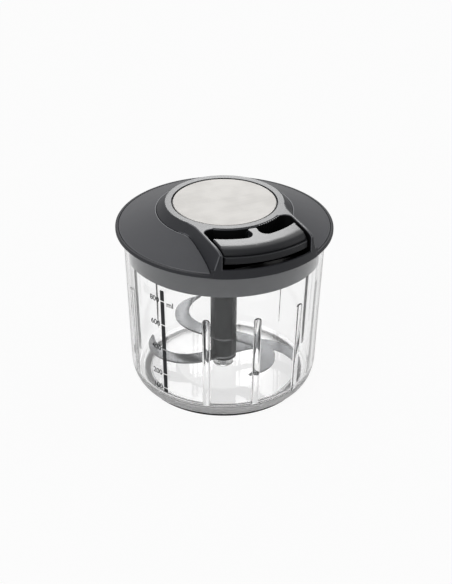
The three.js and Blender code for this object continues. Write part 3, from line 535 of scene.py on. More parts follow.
def moulded(name, dark, light, roughness, texture_depth, shine=0.5):
    """Moulded plastic: a fine eroded texture, slight mottling and paler handled places."""
    plastic = Finish(name, {"Specular IOR Level": shine})
    mottle = plastic.grain(9, detail=3)
    texture = plastic.grain(0.35, detail=2)
    plastic.vary({
        "Base Color": plastic.mixed(mottle * 0.6 + texture * 0.4, dark, light),
        "Roughness": roughness - 0.06 + mottle * 0.12,
        "Normal": plastic.relief(texture, texture_depth),
    })
    return plastic


def rounded_edges(bm, edges, radius, segments=2, clamp_overlap=False):
    """Rounds the edges, and gives back the new faces."""
    made = bmesh.ops.bevel(
        bm, geom=edges, offset=radius * MM, affect="EDGES", segments=segments,
        profile=0.5, material=-1, clamp_overlap=clamp_overlap,
    )
    return made["faces"]


def hexagon_bar(flats, foot_z, top_z, softening=0.3):
    """A hexagonal bar of the given width across flats, with broken edges."""
    bm = bmesh.new()
    corner_radius = flats / 2 / math.cos(math.pi / 6)
    bmesh.ops.create_circle(bm, cap_ends=True, segments=6, radius=corner_radius * MM)
    raised(swung(bm, Z_AXIS, TURN / 12), (top_z - foot_z) * MM)
    closed(moved(bm, z=foot_z))
    if softening:
        rounded_edges(bm, bm.edges[:], softening)
    return bm


def hexagon_hole(foot_z, top_z):
    """What cuts the hole for the sleeve, from a little below the foot."""
    return hexagon_bar(HEX_HOLE_FLATS, foot_z - 1, top_z, 0)


def rod(radius, foot_z, top_z, place=(0, 0), steps=48):
    """An upright round bar, to add or to cut a hole with."""
    bm = turned([(0, foot_z), (radius, foot_z), (radius, top_z), (0, top_z)], steps)
    return moved(bm, *place)


grey_plastic = moulded("grey_plastic", tint(126, 126, 124), tint(142, 142, 140), 0.5, 0.01)
black_plastic = moulded("black_plastic", tint(18, 20, 21), tint(26, 29, 30), 0.22, 0.004,
                         shine=0.2)
sleeve = combined(hexagon_bar(SLEEVE_FLATS, HUB_FOOT_Z, SLEEVE_TOP_Z), "DIFFERENCE",
                  rod(PIN_HOLE_RADIUS, HUB_FOOT_Z - 3.6, PIN_TOP_Z + 0.3))
piece("blade_bearing", sleeve, "blade_unit", grey_plastic, ["bearing_sleeve"])


def stack_ring(foot_z, top_z):
    shape = [(0, foot_z), (HUB_RADIUS, foot_z, 0.35), (HUB_RADIUS, top_z, 0.35), (0, top_z)]
    return combined(turned(shape, 96), "DIFFERENCE", hexagon_hole(foot_z, top_z + 1))


piece("blade_foot_ring", stack_ring(HUB_FOOT_Z, LOWER_BLADE_Z), "blade_unit",
      black_plastic, ["blade_hub"])
piece("blade_spacer_ring", stack_ring(LOWER_BLADE_Z + BLADE_THICKNESS, UPPER_BLADE_Z),
      "blade_unit", black_plastic, ["blade_spacer"])
shaft_foot_z = UPPER_BLADE_Z + BLADE_THICKNESS
shaft = turned([
    (0, shaft_foot_z), (HUB_RADIUS, shaft_foot_z, 0.4),
    (HUB_RADIUS, COLUMN_TOP_Z - 1.2, 0.5), (HUB_RADIUS - 1.2, COLUMN_TOP_Z, 0.4),
    (0, COLUMN_TOP_Z),
], 96)
shaft = combined(shaft, "UNION", hexagon_bar(DRIVE_FLATS, COLUMN_TOP_Z - 1, DRIVE_TOP_Z, 0.5))
shaft = combined(shaft, "DIFFERENCE", hexagon_hole(shaft_foot_z, SLEEVE_TOP_Z + 0.3))
piece("drive_column", shaft, "blade_unit", black_plastic, ["blade_column"])


# Two S-shaped blades are stamped from steel sheet, ground to an edge on the leading side
# and threaded on the hexagon, one near the floor and one a good centimetre higher.
BLADE_HALF_WIDTH = 5.6
GROUND_WIDTH = 3.2
EDGE_THICKNESS = 0.25
BLADE_MIDDLE_RADIUS = 8.3
# From the middle to the tip: share of the reach, sweep in degrees, share of the width.
WING_SHARES = [(0.12, 0, 1), (0.3, 3, 1), (0.5, 9, 0.98), (0.68, 18, 0.92), (0.84, 30, 0.8),
               (0.94, 41, 0.55), (1, 52, 0.12)]

blade_steel = Finish("blade_steel", {"Metallic": 1.0})
ground_lines = blade_steel.grain(0.05, stretch=(30, 30, 1))
rolled_lines = blade_steel.grain(2.5, detail=3)
blade_steel.vary({
    "Base Color": blade_steel.mixed(rolled_lines, tint(98, 99, 101), tint(122, 123, 124)),
    "Roughness": 0.22 + ground_lines * 0.08,
    "Normal": blade_steel.relief(ground_lines, 0.0006),
})


def softened(stations, rounds=2):
    """More stations, with the corners between them cut off round by round."""
    for _ in range(rounds):
        finer = [stations[0]]
        for first, second in zip(stations, stations[1:]):
            for share in (0.25, 0.75):
                finer.append(tuple(a + (b - a) * share for a, b in zip(first, second)))
        stations = finer + [stations[-1]]
    return stations


def skinned(loops):
    """Bridges one closed loop of points to the next and caps both ends."""
    bm = bmesh.new()
    edges = []
    for loop in loops:
        verts = [bm.verts.new([value * MM for value in point]) for point in loop]
        ring = [bm.edges.new((a, b)) for a, b in zip(verts, verts[1:] + verts[:1])]
        if loop is loops[0] or loop is loops[-1]:
            bm.faces.new(verts)
        if edges:
            bmesh.ops.bridge_loops(bm, edges=edges + ring)
        edges = ring
    return closed(bm)


def blade_wing(reach, root_degrees, foot_z):
    """A swept wing, flat on the back and ground to an edge along its outer curve."""
    stations = softened(WING_SHARES)
    spine = [around(reach * share, root_degrees - sweep) for share, sweep, _ in stations]
    top_z = foot_z + BLADE_THICKNESS
    edge_z = foot_z + BLADE_THICKNESS / 2
    loops = []
    for k, station in enumerate(stations):
        before, after = spine[max(k - 1, 0)], spine[min(k + 1, len(spine) - 1)]
        along = Vector((after[0] - before[0], after[1] - before[1])).normalized()
        across = Vector((along.y, -along.x)) * BLADE_HALF_WIDTH * station[2]
        middle = Vector(spine[k])
        back, edge = middle - across, middle + across
        ground = edge - across.normalized() * min(GROUND_WIDTH, across.length)
        half_edge = EDGE_THICKNESS / 2
        loops.append([
            (back.x, back.y, foot_z), (ground.x, ground.y, foot_z),
            (edge.x, edge.y, edge_z - half_edge), (edge.x, edge.y, edge_z + half_edge),
            (ground.x, ground.y, top_z), (back.x, back.y, top_z),
        ])
    return skinned(loops)


def blade(name, foot_z, reach, root_degrees, node):
    top_z = foot_z + BLADE_THICKNESS
    middle = rod(BLADE_MIDDLE_RADIUS, foot_z, top_z, steps=96)
    wings = [blade_wing(reach, root_degrees + half, foot_z) for half in (0, 180)]
    whole = combined(middle, "UNION", *wings)
    whole = combined(whole, "DIFFERENCE", hexagon_hole(foot_z, top_z + 1))
    piece(name, whole, "blade_unit", blade_steel, [node], crease=12)


blade("lower_cutter", LOWER_BLADE_Z, reach=51.5, root_degrees=96, node="lower_blade")
blade("upper_cutter", UPPER_BLADE_Z, reach=51, root_degrees=46, node="upper_blade")


# The lid's base closes the bowl: a collar that drops inside the rim, a floor with a bearing
# for the coupler, and four posts. Screws from below hold the housing down on it.
COLLAR_FOOT_Z = 92
LID_FLOOR_Z = 94
LID_FLOOR_TOP_Z = 96.5
COLLAR_RADIUS = 60.3
FLANGE_RADIUS = 66
FLANGE_TOP_Z = 108.5
BEARING_RADIUS = 9.8
BEARING_OUTER = 13
BEARING_TOP_Z = 99.7
POST_RADIUS = 4
POST_CIRCLE = 48
POST_PLACES = [60, 130, 230, 300]
SCREW_HOLE_RADIUS = 1.8
SCREW_HEAD_HOLE = 3.3

# The lid base's grey, paler than the housing's, is a painted reflection of the clear bowl wall in
# front of the collar.
collar_plastic = moulded("collar_plastic", tint(76, 78, 81), tint(88, 90, 93), 0.36, 0.006)
lid_floor = turned([
    (BEARING_RADIUS, LID_FLOOR_Z, 0.4), (58.4, LID_FLOOR_Z, 1.2), (58.3, COLLAR_FOOT_Z, 0.5),
    (COLLAR_RADIUS, COLLAR_FOOT_Z, 0.5), (60.9, BOWL_HEIGHT), (FLANGE_RADIUS, BOWL_HEIGHT),
    (FLANGE_RADIUS, FLANGE_TOP_Z), (58.9, FLANGE_TOP_Z), (58.5, LID_FLOOR_TOP_Z, 1),
    (BEARING_OUTER, LID_FLOOR_TOP_Z, 0.6), (BEARING_OUTER, BEARING_TOP_Z, 0.4),
    (BEARING_RADIUS, BEARING_TOP_Z, 0.4),
])


def at_posts(radius, foot_z, top_z):
    """A rod in each of the four places where a screw stands."""
    return [rod(radius, foot_z, top_z, around(POST_CIRCLE, at)) for at in POST_PLACES]


posts = at_posts(POST_RADIUS, LID_FLOOR_TOP_Z - 0.6, FLANGE_TOP_Z)
shanks = at_posts(SCREW_HOLE_RADIUS, 90, 110)
heads = at_posts(SCREW_HEAD_HOLE, 90, 97.1)
lid_floor = combined(lid_floor, "UNION", *posts)
lid_floor = combined(lid_floor, "DIFFERENCE", *shanks, *heads)
piece("lid_floor", lid_floor, "lid", collar_plastic, ["lid_base"])


# Small screws with pan heads and a cross recess hold the lid and the grip together. They
# are rolled from wire and bright plated.
RECESS_HEIGHT = 1.6

screw_steel = Finish("screw_steel", {"Metallic": 1.0})
screw_wear = screw_steel.grain(0.6, detail=4)
screw_steel.vary({
    "Base Color": screw_steel.mixed(screw_wear, tint(150, 151, 154), tint(184, 184, 186)),
    "Roughness": 0.25 + screw_wear * 0.2,
    "Normal": screw_steel.relief(screw_wear, 0.01),
})


def screw(name, body, node, place, head, shank, head_z, neck_z, tip_z):
    """A screw that stands head down: head and shank are radii, the rest are heights."""
    bm = turned([
        (0, head_z), (head, head_z, 0.5), (head, neck_z, 0.15), (shank, neck_z),
        (shank, tip_z - 1, 0.2), (shank * 0.4, tip_z), (0, tip_z),
    ], 36)
    arms = []
    for side in (0, 1):
        arm = bmesh.new()
        bmesh.ops.create_cube(arm, size=MM)
        long_way, short_way = head * 1.1, head * 0.24
        in_plan = (long_way, short_way) if side else (short_way, long_way)
        bmesh.ops.scale(arm, vec=(*in_plan, RECESS_HEIGHT), verts=arm.verts[:])
        arms.append(moved(arm, z=head_z))
    bm = combined(bm, "DIFFERENCE", *arms)
    piece(name, moved(bm, *place), body, screw_steel, [node])


for number, at in enumerate(POST_PLACES, 1):
    screw(f"lid_fixing_{number}", "lid", f"lid_screw_{number}", around(POST_CIRCLE, at),
          head=3, shank=1.5, head_z=94.6, neck_z=96.8, tip_z=114)


# The housing is the big anthracite moulding: a brim over the bowl's rim, the drum for the
# reel with the ring round the plate, and the pocket of the grip with its walls and comb.
BRIM_RADIUS = 68.4
WEB_Z = 108.5
WEB_TOP_Z = 110.3
BRIM_TOP_Z = 110.9
BRIM_STEP_RADIUS = 66.5
RING_TOP_Z = 126
RING_OUTER = 37.5
RING_INNER = 33.1
PLATE_SEAT_Z = 124.5
DRUM_RADIUS = 36
DRUM_CEILING_Z = 122.6
DRUM_WALL_RADIUS = 38
SHELL_RADIUS = 40.7
SLOPE_FOOT_RADIUS = 42.5
SLOPE_FOOT_Z = 121
COVER_INNER = 42.8
LEDGE_RADIUS = 45
POCKET_HALF_WIDTH = 29
POCKET_BACK = 31.2
LIP_INNER = 66.7
LIP_TOP_Z = 114.4
POLISHED_FROM_Z = 124.8
DOME_FALL = 10 / 23.8
EDGE_ROUNDING = 0.45
COMB_FIRST = 6
COMB_STEP = 1.7
COMB_TEETH = 11
CORD_Z = 121.5
# From the ring to the front: share of the way to the brim, of the pocket's half width at the
# wall's top and at its foot, and of the height.
FLANK_SHARES = [
    (0.14, 1.167, 1.42, 1), (0.26, 1.13, 1.337, 1), (0.32, 1.085, 1.255, 1),
    (0.37, 1.055, 1.202, 1), (0.48, 1.05, 1.172, 1), (0.68, 1.05, 1.157, 1),
    (0.79, 1.05, 1.167, 1), (0.87, 1.05, 1.186, 0.955), (0.905, 1.05, 1.196, 0.873),
    (1.02, 1.05, 1.235, 0.4),
]


def dome_z(radius):
    """The height of the dome at a distance from the axis."""
    return SLOPE_FOOT_Z - DOME_FALL * (radius - SLOPE_FOOT_RADIUS)


def gloss_plastic(name, dark, light, shine, pocket_shade=None):
    """Housing plastic: eroded texture on its sides, and flat tops polished in the mould. A
    darker colour, when given, is painted inside the pocket as painted shade under the grip."""
    plastic = Finish(name, {"Specular IOR Level": 0.3, "Coat Roughness": 0.2})
    mottle = plastic.grain(9, detail=3)
    texture = plastic.grain(0.4)
    facing = plastic.add("NewGeometry", output="Normal")
    level = plastic.add("SeparateXYZ", {}, {0: facing}, output="Z")
    on_top = plastic.between(plastic.along("Z"), POLISHED_FROM_Z, POLISHED_FROM_Z + 0.4)
    polished = plastic.between(level, 0.9, 0.985) * on_top
    colour = plastic.mixed(mottle * 0.6 + texture * 0.4, dark, light)
    if pocket_shade:
        # Painted shade: the inside of the pocket, under the grip, takes the darker colour.
        across = plastic.add("Math", {"operation": "ABSOLUTE"}, {0: plastic.along("X")})
        forward = plastic.along("Y") * -1
        inside = 1 - plastic.between(across, POCKET_HALF_WIDTH + 0.1, POCKET_HALF_WIDTH + 0.3)
        inside *= plastic.between(forward, POCKET_BACK - 0.5, POCKET_BACK - 0.2)
        inside *= 1 - plastic.between(plastic.along("Z"), RING_TOP_Z - 0.8, RING_TOP_Z - 0.2)
        inside *= 1 - plastic.between(plastic.reach(), LIP_INNER + 0.2, LIP_INNER + 0.5)
        colour = plastic.mixed(inside, colour, pocket_shade)
    plastic.vary({
        "Coat Weight": polished * shine,
        "Base Color": colour,
        "Roughness": 0.42 - polished * 0.16 + mottle * 0.06,
        "Normal": plastic.relief(texture * (1 - polished * 0.8), 0.008),
    })
    return plastic


# The near-black last colour is painted shade inside the pocket.
housing_plastic = gloss_plastic("anthracite_plastic", tint(42, 43, 47), tint(51, 52, 56),
                                shine=0.72, pocket_shade=tint(16, 16, 17))
# Paler than the housing: a painted highlight along the housing's rounded edges.
edge_highlight_plastic = moulded("edge_highlight_plastic", tint(84, 85, 89), tint(100, 101, 105), 0.24, 0.002)


def plan(corners, foot_z, top_z):
    """A block raised from an outline of (x, y) in mm, rounded where a third number stands."""
    bm = bmesh.new()
    verts = [bm.verts.new((point[0] * MM, point[1] * MM, foot_z * MM)) for point in corners]
    bm.faces.new(verts)
    for vert, point in zip(verts, corners):
        if len(point) == 3:
            rounded_corners(bm, [vert], point[2], segments=8)
    raised(bm, (top_z - foot_z) * MM)
    return closed(bm)


def creases(bm, merge=6e-5, flat=0.3, crease=25):
    """The sharp edges, once points nearer than merge are one and faces nearly in line are one.
    The slivers that a cut leaves would stop their rounding."""
    bmesh.ops.remove_doubles(bm, verts=bm.verts[:], dist=merge)
    bmesh.ops.dissolve_limit(bm, angle_limit=math.radians(flat), verts=bm.verts[:],
                             edges=bm.edges[:])
    return [edge for edge in bm.edges if edge.calc_face_angle(0) > math.radians(crease)]


def stands_out(edge):
    return edge.is_convex


def soften(bm, radius, picked=stands_out):
    """Rounds the creases that stand out, and gives the rounding the rim's finish."""
    chosen = [edge for edge in creases(bm) if picked(edge)]
    for face in rounded_edges(bm, chosen, radius, segments=3):
        face.material_index = 1


def flank(side):
    """A side wall of the pocket, skinned from stations that run from the ring to the front."""
    loops = []
    for out_share, top_share, foot_share, height_share in softened(FLANK_SHARES):
        y = -BRIM_RADIUS * out_share
        inner = POCKET_HALF_WIDTH * 0.74
        top = POCKET_HALF_WIDTH * top_share
        foot = POCKET_HALF_WIDTH * foot_share
        seam_z = min(dome_z(math.hypot(foot, y)), SLOPE_FOOT_Z)
        top_z = WEB_TOP_Z + (RING_TOP_Z - WEB_TOP_Z) * height_share
        loops.append([
            (side * inner, y, WEB_TOP_Z - 0.6), (side * foot, y, WEB_TOP_Z - 0.6),
            (side * foot, y, max(seam_z, WEB_TOP_Z)), (side * top, y, top_z),
            (side * inner, y, top_z),
        ])
    return skinned(loops)


def off_the_seam(edge):
    """An edge that stands out, not where a flank meets the cover or the pocket's floor ends."""
    reaches = [vert.co.xy.length / MM for vert in edge.verts]
    heights = [vert.co.z / MM for vert in edge.verts]
    off_cover = max(abs(z - dome_z(reach)) for z, reach in zip(heights, reaches)) > 0.1
    off_floor = max(abs(z - WEB_TOP_Z) for z in heights) > 0.1
    inward = min(reaches) < COVER_INNER + 0.2
    return edge.is_convex and off_floor and (off_cover or inward)


ledge_z = dome_z(LEDGE_RADIUS) - 2
drum = turned([
    (0, DRUM_CEILING_Z), (DRUM_RADIUS, DRUM_CEILING_Z, 1), (DRUM_RADIUS, WEB_Z),
    (BRIM_RADIUS, WEB_Z), (BRIM_RADIUS, BRIM_TOP_Z, 0.7), (BRIM_STEP_RADIUS, BRIM_TOP_Z, 0.4),
    (BRIM_STEP_RADIUS, WEB_TOP_Z), (SHELL_RADIUS, WEB_TOP_Z), (SHELL_RADIUS, ledge_z - 1.6),
    (LEDGE_RADIUS, ledge_z - 1.6), (LEDGE_RADIUS, ledge_z),
    (SLOPE_FOOT_RADIUS, dome_z(COVER_INNER) - 2), (SLOPE_FOOT_RADIUS, SLOPE_FOOT_Z, 0.3),
    (RING_OUTER, RING_TOP_Z, 0.5), (RING_INNER, RING_TOP_Z, 0.3), (RING_INNER, PLATE_SEAT_Z),
    (0, PLATE_SEAT_Z),
])
walls = combined(flank(1), "UNION", flank(-1))
walls = combined(walls, "DIFFERENCE", rod(DRUM_RADIUS + 0.6, 100, 130, steps=FINE_STEPS))
round_front = turned([(0, WEB_Z), (BRIM_RADIUS, WEB_Z), (BRIM_RADIUS, BRIM_TOP_Z),
                      (BRIM_RADIUS - 0.3, RING_TOP_Z), (0, RING_TOP_Z)])
walls = combined(walls, "INTERSECT", round_front)
lip = turned([(LIP_INNER, WEB_Z), (BRIM_RADIUS, WEB_Z), (BRIM_RADIUS - 0.06, LIP_TOP_Z, 0.35),
              (LIP_INNER, LIP_TOP_Z, 0.35)])
lip_reach = [around(90, degrees) for degrees in (-31, -16, 0, 16, 31)]
lip = combined(lip, "INTERSECT", plan([(0, 0), *lip_reach], 100, 120))
arbor = rod(4.6, 111.3, 123, steps=64)
bosses = at_posts(3.5, WEB_TOP_Z - 0.6, 115.2)
housing = combined(drum, "UNION", walls, arbor, *bosses)
pocket = plan([
    (-POCKET_HALF_WIDTH, -80), (POCKET_HALF_WIDTH, -80),
    (POCKET_HALF_WIDTH, -POCKET_BACK, 4.5), (-POCKET_HALF_WIDTH, -POCKET_BACK, 4.5),
], WEB_TOP_Z, 130)
pocket = combined(pocket, "DIFFERENCE", rod(DRUM_WALL_RADIUS, 100, 140, steps=FINE_STEPS))
housing = combined(housing, "DIFFERENCE", pocket)
soften(housing, EDGE_ROUNDING, off_the_seam)
comb = []
for tooth in range(COMB_TEETH):
    at = math.degrees(math.asin((COMB_FIRST + COMB_STEP * tooth) / DRUM_WALL_RADIUS))
    comb.append(rod(0.5, WEB_TOP_Z - 0.6, RING_TOP_Z - 0.25, around(DRUM_WALL_RADIUS, at), 16))
housing = combined(housing, "UNION", lip, *comb)
eyelet_hole = moved(swung(rod(3.2, 35, 39), X_AXIS, TURN / 4), z=CORD_Z)
axle_hole = rod(2.3, 105, 124.2)
pilots = at_posts(SCREW_HOLE_RADIUS, 105, 114.3)
housing = combined(housing, "DIFFERENCE", axle_hole, eyelet_hole, *pilots)
piece("lid_housing", housing, "lid", housing_plastic, ["top_housing"], flats=True,
      rim=edge_highlight_plastic)


# The cover is a separate horseshoe, a satin moulding that snaps in between the ring and the
# brim and is cut out round the pocket. Its edges are smooth, with a painted highlight in their
# colour that is palest beside the ring.
COVER_OUTER = 66.3
COVER_THICKNESS = 1.7

cover_plastic = moulded("cover_plastic", tint(68, 69, 73), tint(77, 78, 82), 0.42, 0.012)
# The colours of the cover's rounded edges are a painted highlight, palest beside the ring.
cover_edge_highlight = Finish("cover_edge_highlight", {"Roughness": 0.28})
rim_grain = cover_edge_highlight.grain(0.5)
by_the_ring = 1 - cover_edge_highlight.between(cover_edge_highlight.reach(), COVER_INNER + 0.8, COVER_INNER + 1.4)
outer_edge_highlight = cover_edge_highlight.mixed(rim_grain, tint(84, 85, 89), tint(100, 101, 105))
ring_side_highlight = cover_edge_highlight.mixed(rim_grain, tint(150, 151, 155), tint(172, 173, 177))
cover_edge_highlight.vary({"Base Color": cover_edge_highlight.mixed(by_the_ring, outer_edge_highlight, ring_side_highlight)})

cover = turned([
    (COVER_INNER, dome_z(COVER_INNER) - COVER_THICKNESS), (63.8, WEB_TOP_Z),
    (COVER_OUTER, WEB_TOP_Z), (COVER_OUTER, 111), (COVER_INNER, dome_z(COVER_INNER)),
])
seam = [(POCKET_HALF_WIDTH * foot + 0.3, -BRIM_RADIUS * out)
        for out, _, foot, _ in softened(FLANK_SHARES)]
notch = plan([(-x, y) for x, y in reversed(seam)] + [(0, 0)] + seam, 100, 130)
cover = combined(cover, "DIFFERENCE", notch)
soften(cover, 0.5)
piece("dome_shell", cover, "lid", cover_plastic, ["dome_cover"],
      flats=True, rim=cover_edge_highlight)


# The plate in the middle is stamped from stainless sheet, brushed in one direction and
# glued into its seat. It carries no words.
PLATE_RADIUS = 32.3
PLATE_TOP_Z = 125.8

brushed_plate = Finish("brushed_plate", {"Metallic": 1.0})
brush_lines = brushed_plate.grain(0.09, stretch=(160, 1, 1), detail=3)
brush_bands = brushed_plate.grain(0.9, stretch=(40, 1, 1), detail=2)
rolled_clouds = brushed_plate.between(brushed_plate.grain(16, detail=3), 0.35, 0.65)
brushed_plate.vary({
    "Base Color": brushed_plate.mixed(
        brush_lines * 0.35 + brush_bands * 0.35 + rolled_clouds * 0.3,
        tint(198, 196, 193), tint(226, 224, 221)),
    "Roughness": 0.5 + brush_lines * 0.14,
    "Normal": brushed_plate.relief(brush_lines, 0.002),
})
plate = turned([(0, PLATE_SEAT_Z), (PLATE_RADIUS, PLATE_SEAT_Z),
                (PLATE_RADIUS, PLATE_TOP_Z, 0.3), (0, PLATE_TOP_Z)])
piece("badge_plate", plate, "lid", brushed_plate, ["steel_plate"])


# Inside the lid: an eyelet for the cord, the axle with its clip, the reel, the coupler and
# three pawls. Each is a copy of the machine part's solid with its edges broken.
BROKEN_EDGE = 0.15

natural_plastic = moulded("natural_plastic", tint(216, 214, 206), tint(232, 230, 223), 0.5, 0.006)
pawl_plastic = moulded("pawl_plastic", tint(150, 46, 36), tint(182, 60, 48), 0.45, 0.006)


def broken_edges(name, node, body, finish):
    bm = bmesh.new()
    bm.from_mesh(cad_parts[node].data)
    sharp = creases(bm, merge=1e-6, flat=0.5, crease=32)
    rounded_edges(bm, sharp, BROKEN_EDGE, clamp_overlap=True)
    piece(name, bm, body, finish, [node])


broken_edges("cord_eyelet", "guide_eyelet", "lid", black_plastic)
broken_edges("axle_rod", "reel_axle", "lid", plain_steel)
broken_edges("axle_clip", "reel_clip", "lid", screw_steel)
broken_edges("reel_drum", "cord_reel", "reel", natural_plastic)
broken_edges("coupler_cup", "drive_coupler", "coupler", natural_plastic)
for number, letter in enumerate("abc", 1):
    broken_edges(f"clutch_pawl_{number}", f"pawl_{number}", f"pawl_{letter}", pawl_plastic)


# The recoil spring is a blued steel strip, wound in a flat spiral from the arbor to the wall
# of the reel's cup.
SPRING_INNER = 5.15
SPRING_OUTER = 15.95
SPRING_TURNS = 6
STEPS_A_TURN = 36

spring_steel = Finish("spring_steel", {"Metallic": 1.0})
spring_heat = spring_steel.grain(3, detail=3)
spring_steel.vary({
    "Base Color": spring_steel.mixed(spring_heat, tint(96, 100, 112), tint(138, 140, 148)),
    "Roughness": 0.22 + spring_heat * 0.14,
    "Normal": spring_steel.relief(spring_steel.grain(0.1, stretch=(1, 1, 30)), 0.002),
})


def swept_strip(points, half_thickness, foot_z, top_z):
    """An upright strip that follows a line in plan."""
    bm = bmesh.new()
    verts = [bm.verts.new((x * MM, y * MM, foot_z * MM)) for x, y in points]
    edges = [bm.edges.new(pair) for pair in zip(verts, verts[1:])]
    lifted = bmesh.ops.extrude_edge_only(bm, edges=edges)["geom"]
    top = [part for part in lifted if isinstance(part, bmesh.types.BMVert)]
    bmesh.ops.translate(bm, vec=(0, 0, (top_z - foot_z) * MM), verts=top)
    bmesh.ops.recalc_face_normals(bm, faces=bm.faces[:])
    for vert in bm.verts:
        vert.co += vert.normal * half_thickness * MM
    bmesh.ops.solidify(bm, geom=bm.faces[:], thickness=2 * half_thickness * MM)
    return closed(bm)


spiral = []
for step in range(SPRING_TURNS * STEPS_A_TURN + 1):
    share = step / (SPRING_TURNS * STEPS_A_TURN)
    spiral.append(around(SPRING_INNER + (SPRING_OUTER - SPRING_INNER) * share,
                         360 * SPRING_TURNS * share))
strip = swept_strip(spiral, half_thickness=0.25, foot_z=111.6, top_z=120.4)
piece("spiral_spring", strip, "reel", spring_steel, ["recoil_spring"])


# The cord is a braided polyester line of two millimetres. It lies in turns on the reel, runs
# through the eyelet into the neck of the grip, and ends there in a knot.
CORD_RADIUS = 1.0
WIND_RADIUS = 20
WIND_TOP_Z = 118.3
WIND_TURNS = 3.2
WIND_PITCH = 2.5
WIND_STEPS = 120
BEND_OUT = 37.4
KNOT_OUT = 53
KNOT_RADIUS = 2.6
RUN_STEPS = 40

cord_fibre = Finish("cord_fibre", {"Specular IOR Level": 0.3, "Sheen Weight": 0.4})
strands = cord_fibre.grain(0.45, detail=1)
fibres = cord_fibre.grain(0.12, detail=3)
cord_fibre.vary({
    "Base Color": cord_fibre.mixed(strands, tint(18, 18, 20), tint(46, 46, 50)),
    "Roughness": 0.75 + fibres * 0.2,
    "Normal": cord_fibre.relief(strands + fibres * 0.4, 0.12),
})


def cord_along(points, radius=CORD_RADIUS, sides=16):
    """A round cord whose section is carried along a route in mm, with strands laid round it."""
    loops = []
    route = [Vector(point) for point in points]
    side_way = Vector((0, 0, 1))
    for k, middle in enumerate(route):
        along = (route[min(k + 1, len(route) - 1)] - route[max(k - 1, 0)]).normalized()
        first = side_way.cross(along).normalized()
        second = along.cross(first)
        loop = []
        for side in range(sides):
            angle = TURN * side / sides
            crossing = math.sin(4 * angle + k * 0.9) * math.sin(4 * angle - k * 0.9)
            reach = radius * (0.97 + 0.03 * crossing)
            loop.append(middle + first * reach * math.cos(angle) + second * reach * math.sin(angle))
        loops.append(loop)
    return skinned(loops)


leave = -math.pi / 2 - math.acos(WIND_RADIUS / BEND_OUT)
winding = []
for step in range(round(WIND_TURNS * WIND_STEPS) + 1):
    angle = leave - 0.3 / WIND_RADIUS - TURN * step / WIND_STEPS
    height = WIND_TOP_Z - WIND_PITCH * step / WIND_STEPS
    winding.append((WIND_RADIUS * math.cos(angle), WIND_RADIUS * math.sin(angle), height))
piece("cord_turns", cord_along(winding), "reel", cord_fibre, ["cord_winding"], crease=80)

start_point = Vector((WIND_RADIUS * math.cos(leave), WIND_RADIUS * math.sin(leave), WIND_TOP_Z))
bend_point = Vector((0, -BEND_OUT, CORD_Z))
end_point = Vector((0, -KNOT_OUT + 2.3, CORD_Z))
before_bend = bend_point.lerp(start_point, CORD_RADIUS / WIND_RADIUS)
after_bend = bend_point + Vector((0, -CORD_RADIUS, 0))
run = [start_point.lerp(before_bend, step / RUN_STEPS) for step in range(RUN_STEPS)]
for share in (0, 0.25, 0.5, 0.75):
    run.append(before_bend.lerp(bend_point, share).lerp(bend_point.lerp(after_bend, share), share))
run += [after_bend.lerp(end_point, step / RUN_STEPS) for step in range(RUN_STEPS + 1)]
straight_cord = piece("cord_run", cord_along(run), None, cord_fibre, ["pull_cord"], crease=80)
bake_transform(straight_cord)

# The knot is a ball with three strands that wind round it.
knot = bmesh.new()
bmesh.ops.create_uvsphere(knot, u_segments=32, v_segments=20, radius=KNOT_RADIUS * MM)
for vert in knot.verts:
    turn_angle = math.atan2(vert.co.x, vert.co.z)
    vert.co *= 0.93 + 0.07 * math.cos(3 * turn_angle + 900 * vert.co.y)
piece("end_knot", moved(knot, y=-KNOT_OUT - 0.3, z=CORD_Z), "pull_handle", cord_fibre,
      ["cord_knot"], crease=80)


# The grip is two halves with a thin groove between them, screwed together from below round
# the cord's knot. Its neck runs back through the pocket to the eyelet.
GRIP_TOP_Z = 125.8
GRIP_FOOT_Z = 117.2
GRIP_SPLIT_Z = 122
GRIP_HALF_GROOVE = 0.15
GRIP_BACK_RADIUS = 50.5
GRIP_HALF_WIDTH = 27.4
GRIP_END_ROUNDING = 1.3
CHANNEL_RADIUS = 1.5
CHAMBER_RADIUS = 2.9

grip_plastic = gloss_plastic("grip_plastic", tint(28, 29, 32), tint(35, 36, 39), shine=1)
# Paler than the grip: a painted highlight along its rounded edges.
grip_edge_highlight = moulded("grip_edge_highlight", tint(44, 45, 48), tint(54, 55, 58), 0.22, 0.002)


def grip_corner(edge):
    """A part of the edge round an end of the bar, but for the one along its underside."""
    first, second = [vert.co / MM for vert in edge.verts]
    at_end = min(abs(first.x), abs(second.x)) > GRIP_HALF_WIDTH - 0.1
    return at_end and max(first.z, second.z) > min(first.z, second.z, GRIP_SPLIT_Z) + 0.3


